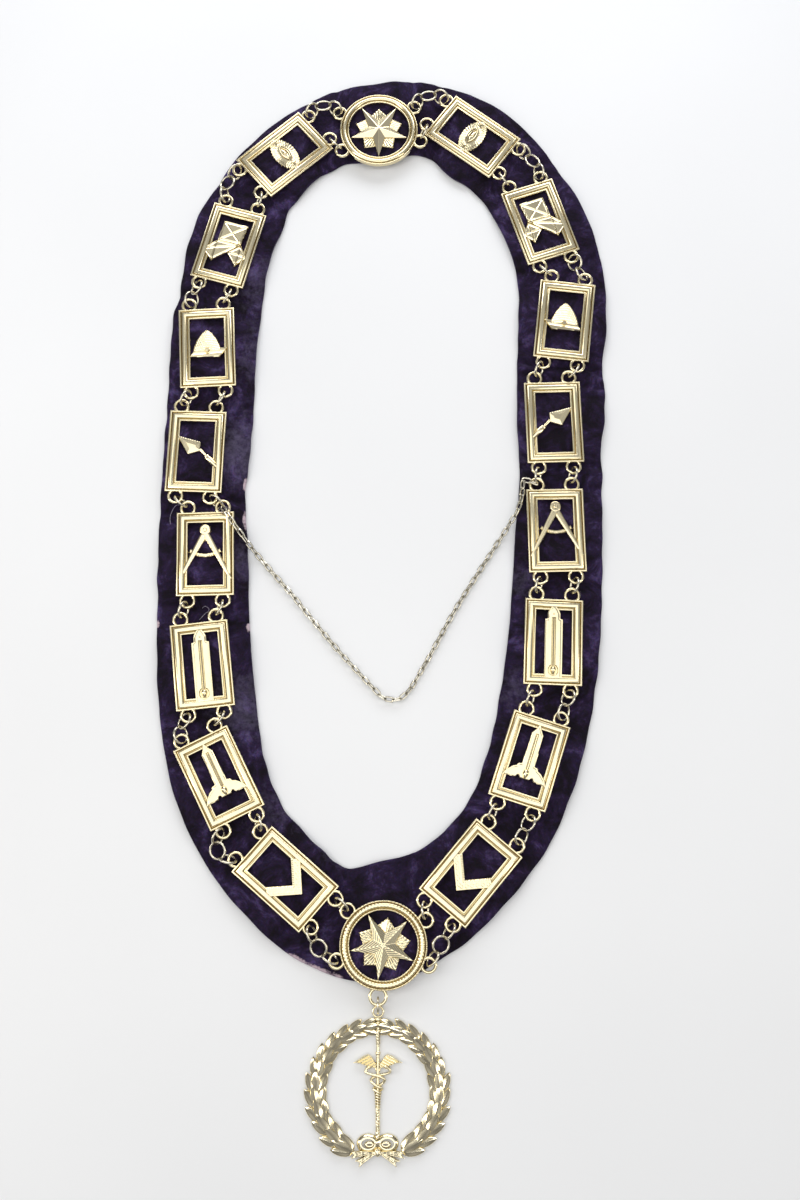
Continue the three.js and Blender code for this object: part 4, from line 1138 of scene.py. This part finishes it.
def silk_velvet():
    """Silk velvet: a near black purple pile that turns lilac where it catches light, its nap laid in
    patches painted lighter purple, partly the nap's own tone and partly painted sheen, rubbed grey in
    places and worn to a pale ground in specks along its edges."""
    made, tree = material("silk_velvet")
    on_piece = node(tree, "ShaderNodeTexCoord").outputs["Object"]
    laid_nap_and_sheen = node(tree, "ShaderNodeTexNoise", {
        "Vector": on_piece, "Scale": 1 / (12 * MM), "Detail": 6.0, "Roughness": 0.72,
        "Distortion": 0.5})
    # The pile's rows are about 0.2 mm apart, too fine to show, so they are drawn at 0.9 mm
    pile = node(tree, "ShaderNodeTexNoise", {
        "Vector": on_piece, "Scale": 1 / (0.9 * MM), "Detail": 5.0})
    tufts = node(tree, "ShaderNodeTexNoise", {
        "Vector": on_piece, "Scale": 1 / (3.2 * MM), "Detail": 4.0, "Roughness": 0.7})
    # The lighter stops on the laid patches are partly the nap's own tone and partly painted sheen
    dark = node(tree, "ShaderNodeValToRGB", {"Fac": laid_nap_and_sheen.outputs["Fac"]},
                stops=[(0.4, colour("#161119")), (0.54, colour("#261c34")), (0.7, colour("#4c3f68"))])
    fine = node(tree, "ShaderNodeMix", {
        SHARE: 0.5, UNDER: dark.outputs["Color"], OVER: pile.outputs["Color"]},
        data_type="RGBA", blend_type="OVERLAY")
    rim = node(tree, "ShaderNodeAttribute", attribute_name="rim")
    rubbed = node(tree, "ShaderNodeAttribute", attribute_name="rubbed")
    thin = node(tree, "ShaderNodeMath", {0: rubbed.outputs["Fac"], 1: tufts.outputs["Fac"]},
                operation="MULTIPLY")
    thin_spread = node(tree, "ShaderNodeMapRange", {
        "Value": thin.outputs["Value"], "From Min": 0.2, "From Max": 0.75,
        "To Min": 0.0, "To Max": 0.62})
    greyed = node(tree, "ShaderNodeMix", {
        SHARE: thin_spread.outputs["Result"], UNDER: fine.outputs[MIXED], OVER: colour("#7a7290")},
        data_type="RGBA")
    speck = node(tree, "ShaderNodeMath", {0: rim.outputs["Fac"], 1: tufts.outputs["Fac"]},
                 operation="MULTIPLY")
    speck_spread = node(tree, "ShaderNodeMapRange", {
        "Value": speck.outputs["Value"], "From Min": 0.44, "From Max": 0.62,
        "To Min": 0.0, "To Max": 0.8})
    wear_and_shade = node(tree, "ShaderNodeMix", {
        SHARE: speck_spread.outputs["Result"], UNDER: greyed.outputs[MIXED],
        OVER: colour("#c9b4bd")}, data_type="RGBA")
    height = node(tree, "ShaderNodeMath", {0: pile.outputs["Fac"], 1: tufts.outputs["Fac"]},
                  operation="ADD")
    bump = node(tree, "ShaderNodeBump", {
        "Height": height.outputs["Value"], "Strength": 0.7, "Distance": 0.35 * MM})
    shader = node(tree, "ShaderNodeBsdfPrincipled", {
        "Base Color": wear_and_shade.outputs[MIXED], "Roughness": 0.95, "Specular IOR Level": 0.1,
        "Sheen Weight": 0.48, "Sheen Roughness": 0.4, "Sheen Tint": colour("#8b80ac"),
        "Normal": bump.outputs["Normal"]})
    node(tree, "ShaderNodeOutputMaterial", {"Surface": shader.outputs["BSDF"]})
    return made


def cotton_thread():
    """Cotton sewing thread: greyed and matt, its twist a faint mottle."""
    made, tree = material("cotton_thread")
    on_piece = node(tree, "ShaderNodeTexCoord").outputs["Object"]
    # The twist is about 0.3 mm from strand to strand, too fine to show, so it is drawn at 0.5 mm
    twist = node(tree, "ShaderNodeTexNoise", {
        "Vector": on_piece, "Scale": 1 / (0.5 * MM), "Detail": 2.0})
    shade = node(tree, "ShaderNodeValToRGB", {"Fac": twist.outputs["Fac"]},
                 stops=[(0.3, colour("#5e586b")), (0.7, colour("#a59fae"))])
    shader = node(tree, "ShaderNodeBsdfPrincipled", {
        "Base Color": shade.outputs["Color"], "Roughness": 0.9})
    node(tree, "ShaderNodeOutputMaterial", {"Surface": shader.outputs["BSDF"]})
    return made


def white_board():
    """White coated board: matt, faintly uneven over a hand's breadth or two."""
    made, tree = material("white_board")
    on_piece = node(tree, "ShaderNodeTexCoord").outputs["Object"]
    cloud = node(tree, "ShaderNodeTexNoise", {
        "Vector": on_piece, "Scale": 1 / (250 * MM), "Detail": 2.0})
    shade = node(tree, "ShaderNodeValToRGB", {"Fac": cloud.outputs["Fac"]},
                 stops=[(0.3, colour("#e5e6e7")), (0.7, colour("#eaebec"))])
    shader = node(tree, "ShaderNodeBsdfPrincipled", {
        "Base Color": shade.outputs["Color"], "Roughness": 0.7})
    node(tree, "ShaderNodeOutputMaterial", {"Surface": shader.outputs["BSDF"]})
    return made


# Making pieces

def piece(name, shape, finish, nodes=(), smooth_under=38):
    """A piece from a shape in millimetres, its faces turned outwards, riding on the one body."""
    points, faces = shape
    mesh = bpy.data.meshes.new(name)
    mesh.from_pydata((points * MM).tolist(), [], [face for block in faces for face in block.tolist()])
    mesh.validate()
    shell = bmesh.new()
    shell.from_mesh(mesh)
    bmesh.ops.recalc_face_normals(shell, faces=shell.faces)
    shell.to_mesh(mesh)
    shell.free()
    mesh.shade_smooth()
    mesh.set_sharp_from_angle(angle=math.radians(smooth_under))
    mesh.materials.append(finish)
    made = bpy.data.objects.new(name, mesh)
    bpy.context.scene.collection.objects.link(made)
    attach(made, "root")
    if nodes:
        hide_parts(*nodes)
    return made


def vertex_numbers(made, name, values):
    """Gives each vertex a number of its own under a name, for a material to read."""
    numbers = made.data.attributes.new(name, "FLOAT", "POINT")
    numbers.data.foreach_set("value", np.asarray(values, np.float32))


# Where the nap is rubbed grey: the middle of each patch, its reach and how far gone
RUBBED = [
    (-64, 152, 22, 0.6), (-62, 110, 20, 0.6), (-68, 62, 22, 0.8), (-66, 8, 18, 0.6),
    (60, -52, 16, 0.6), (84, 128, 14, 0.4), (-20, -122, 18, 0.6), (-66, -60, 20, 0.8),
    (-56, -108, 18, 0.6), (62, 60, 16, 0.5), (64, 0, 14, 0.6), (66, -104, 14, 0.5),
]
# Where an edge is worn to its pale ground: the middle of each place and its reach
WORN = [
    (-66.3, 45.9, 5), (-66.4, 28.6, 6), (-37.7, -172.2, 9), (-24.4, -179.5, 8), (4.2, -183.7, 7),
    (-106.5, -21.6, 2.5), (-64.2, -23.1, 3), (92, -130, 5), (78, -150, 4), (-103, 98, 2),
]


def spot(points, x, y, reach):
    """One at a place, falling off round it as a bell curve over the reach."""
    return np.exp(-((points[:, 0] - x) ** 2 + (points[:, 1] - y) ** 2) / reach ** 2)


def dress_velvet(finish):
    """The velvet, with how near each point is to an edge and how rubbed it is."""
    pad = velvet_pad()
    made = piece("velvet_pad", pad, finish, ["velvet_collar"], 80)
    points = pad[0]
    angle = 2 * np.pi * np.arange(SECTION_POINTS) / SECTION_POINTS
    near = np.tile(np.clip((np.abs(np.cos(angle)) - 0.6) / 0.3, 0, 1), PAD_SECTIONS)
    wear_and_shade = sum(spot(points, x, y, reach) for x, y, reach in WORN)
    vertex_numbers(made, "rim", near * np.clip(1.6 * wear_and_shade, 0, 1.3))
    rubbed = sum(much * spot(points, x, y, reach) for x, y, reach, much in RUBBED)
    vertex_numbers(made, "rubbed", np.clip(rubbed, 0, 1))


def dress_chain():
    """Every link, string of rings, the jewel and the safety chain."""
    # Each finish's third colour is its painted shade in hollows, and its last number how far that shade
    # reaches, in millimetres
    cast = gilt("gilt_cast_brass", "#f2e6c2", "#dbca9a", "#8a7040", 0.12, 0.21, 1.5)
    bright = gilt("bright_gilt_jewel", "#f7eccb", "#e8d9ac", "#94793f", 0.14, 0.24, 1.0)
    wire = gilt("pale_gilt_wire", "#e4ddc9", "#bdb49d", "#51472f", 0.15, 0.26, 1.0)
    fine = gilt("pale_gilt_chain", "#dcd7c8", "#a8a18d", "#403a2c", 0.16, 0.28, 0.8)
    for i, link in enumerate(LINKS):
        name = link["name"]
        shape = plaque(link) if link["emblem"] else medallion(link)
        shape = moved(shape, (*place(link), LINK_BASE), link["turn"])
        piece(f"{name}_casting", shape, cast, [name])
        after = LINKS[(i + 1) % len(LINKS)]
        for side in ("outer", "inner"):
            start, end = eye_place(link, "next", side), eye_place(after, "back", side)
            if side == "inner":
                start, end = end, start
            string = ring_string(start, end, link[side])
            piece(f"{side}_string_{name}", string, wire, [f"{side}_rings_{name}"])
    ring_box = np.array(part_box("jewel_ring")) / MM
    points, faces = torus(JEWEL_RING_RADIUS, JEWEL_RING_WIRE)
    upright = points[:, [2, 0, 1]] + ring_box.mean(0)
    piece("jewel_jump_ring", (upright, faces), wire, ["jewel_ring"])
    wreath_shape, reach = jewel()
    wreath_box = np.array(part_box("wreath_jewel")) / MM
    at = (ring_box[:, 0].mean(), wreath_box[1, 1] - reach, 0)
    piece("laurel_jewel", moved(wreath_shape, at), bright, ["wreath_jewel"])
    piece("safety_links", safety_chain(), fine, ["safety_chain"])


def lay_floor(finish):
    """The white surface that the collar lies on."""
    corners = np.array([(-900, -900), (900, -900), (900, 1100), (-900, 1100)])
    points = np.column_stack([corners, np.full(4, -0.02)])
    mesh = bpy.data.meshes.new("floor")
    mesh.from_pydata((points * MM).tolist(), [], [(0, 1, 2, 3)])
    mesh.materials.append(finish)
    floor = bpy.data.objects.new("floor", mesh)
    bpy.context.scene.collection.objects.link(floor)


# Light and camera

CAMERA_AIM = np.array([6.4, -9.5, 0.0])
CAMERA_DISTANCE = 670.8
CAMERA_ELEVATION = 77.1
CAMERA_LENS = 42.95


def soft_light(name, at, size, watts, shade):
    """A soft box over the collar, turned to its middle."""
    lamp = bpy.data.lights.new(name, "AREA")
    lamp.shape = "RECTANGLE"
    lamp.size, lamp.size_y = size[0] * MM, size[1] * MM
    lamp.energy = watts
    lamp.color = colour(shade)[:3]
    made = bpy.data.objects.new(name, lamp)
    made.location = np.array(at) * MM
    made.rotation_euler = (-made.location).to_track_quat("-Z", "Y").to_euler()
    bpy.context.scene.collection.objects.link(made)


def light_and_camera():
    """A big soft box overhead, a long one at the back, a strip at each side, a dim room and the
    camera."""
    soft_light("overhead_box", (-90, -150, 800), (1000, 960), 3.55, "#fffdf8")
    soft_light("back_box", (60, 860, 460), (1000, 420), 5.7, "#f8faff")
    soft_light("left_strip", (-700, -120, 330), (130, 900), 1.9, "#fffaf0")
    soft_light("right_strip", (700, -200, 330), (130, 900), 1.2, "#fffaf0")
    world = bpy.data.worlds.new("room")
    world.use_nodes = True
    tree = world.node_tree
    tree.nodes.clear()
    way = node(tree, "ShaderNodeTexCoord").outputs["Generated"]
    split = node(tree, "ShaderNodeSeparateXYZ", {"Vector": way})
    bands = node(tree, "ShaderNodeTexNoise", {"Vector": way, "Scale": 2.6, "Detail": 1.0})
    tone = node(tree, "ShaderNodeMath", {0: split.outputs["Z"], 1: bands.outputs["Fac"]},
                operation="MULTIPLY")
    sky = node(tree, "ShaderNodeValToRGB", {"Fac": tone.outputs["Value"]},
               stops=[(0.05, colour("#3c3c3e")), (0.28, colour("#96969a")), (0.5, colour("#c8c9cc"))])
    glow = node(tree, "ShaderNodeBackground", {"Color": sky.outputs["Color"], "Strength": 1.0})
    node(tree, "ShaderNodeOutputWorld", {"Surface": glow.outputs["Background"]})
    bpy.context.scene.world = world
    lens = bpy.data.cameras.new("camera")
    lens.lens = CAMERA_LENS
    lens.sensor_width = 36
    lens.sensor_fit = "AUTO"
    camera = bpy.data.objects.new("camera", lens)
    rise = math.radians(CAMERA_ELEVATION)
    off = np.array([0, -math.cos(rise), math.sin(rise)]) * CAMERA_DISTANCE
    camera.location = (CAMERA_AIM + off) * MM
    camera.rotation_euler = (math.pi / 2 - rise, 0, 0)
    bpy.context.scene.collection.objects.link(camera)
    bpy.context.scene.camera = camera
    bpy.context.scene.view_settings.view_transform = "Standard"


light_and_camera()
lay_floor(white_board())
dress_velvet(silk_velvet())
dress_chain()
piece("loose_threads", loose_threads(), cotton_thread())
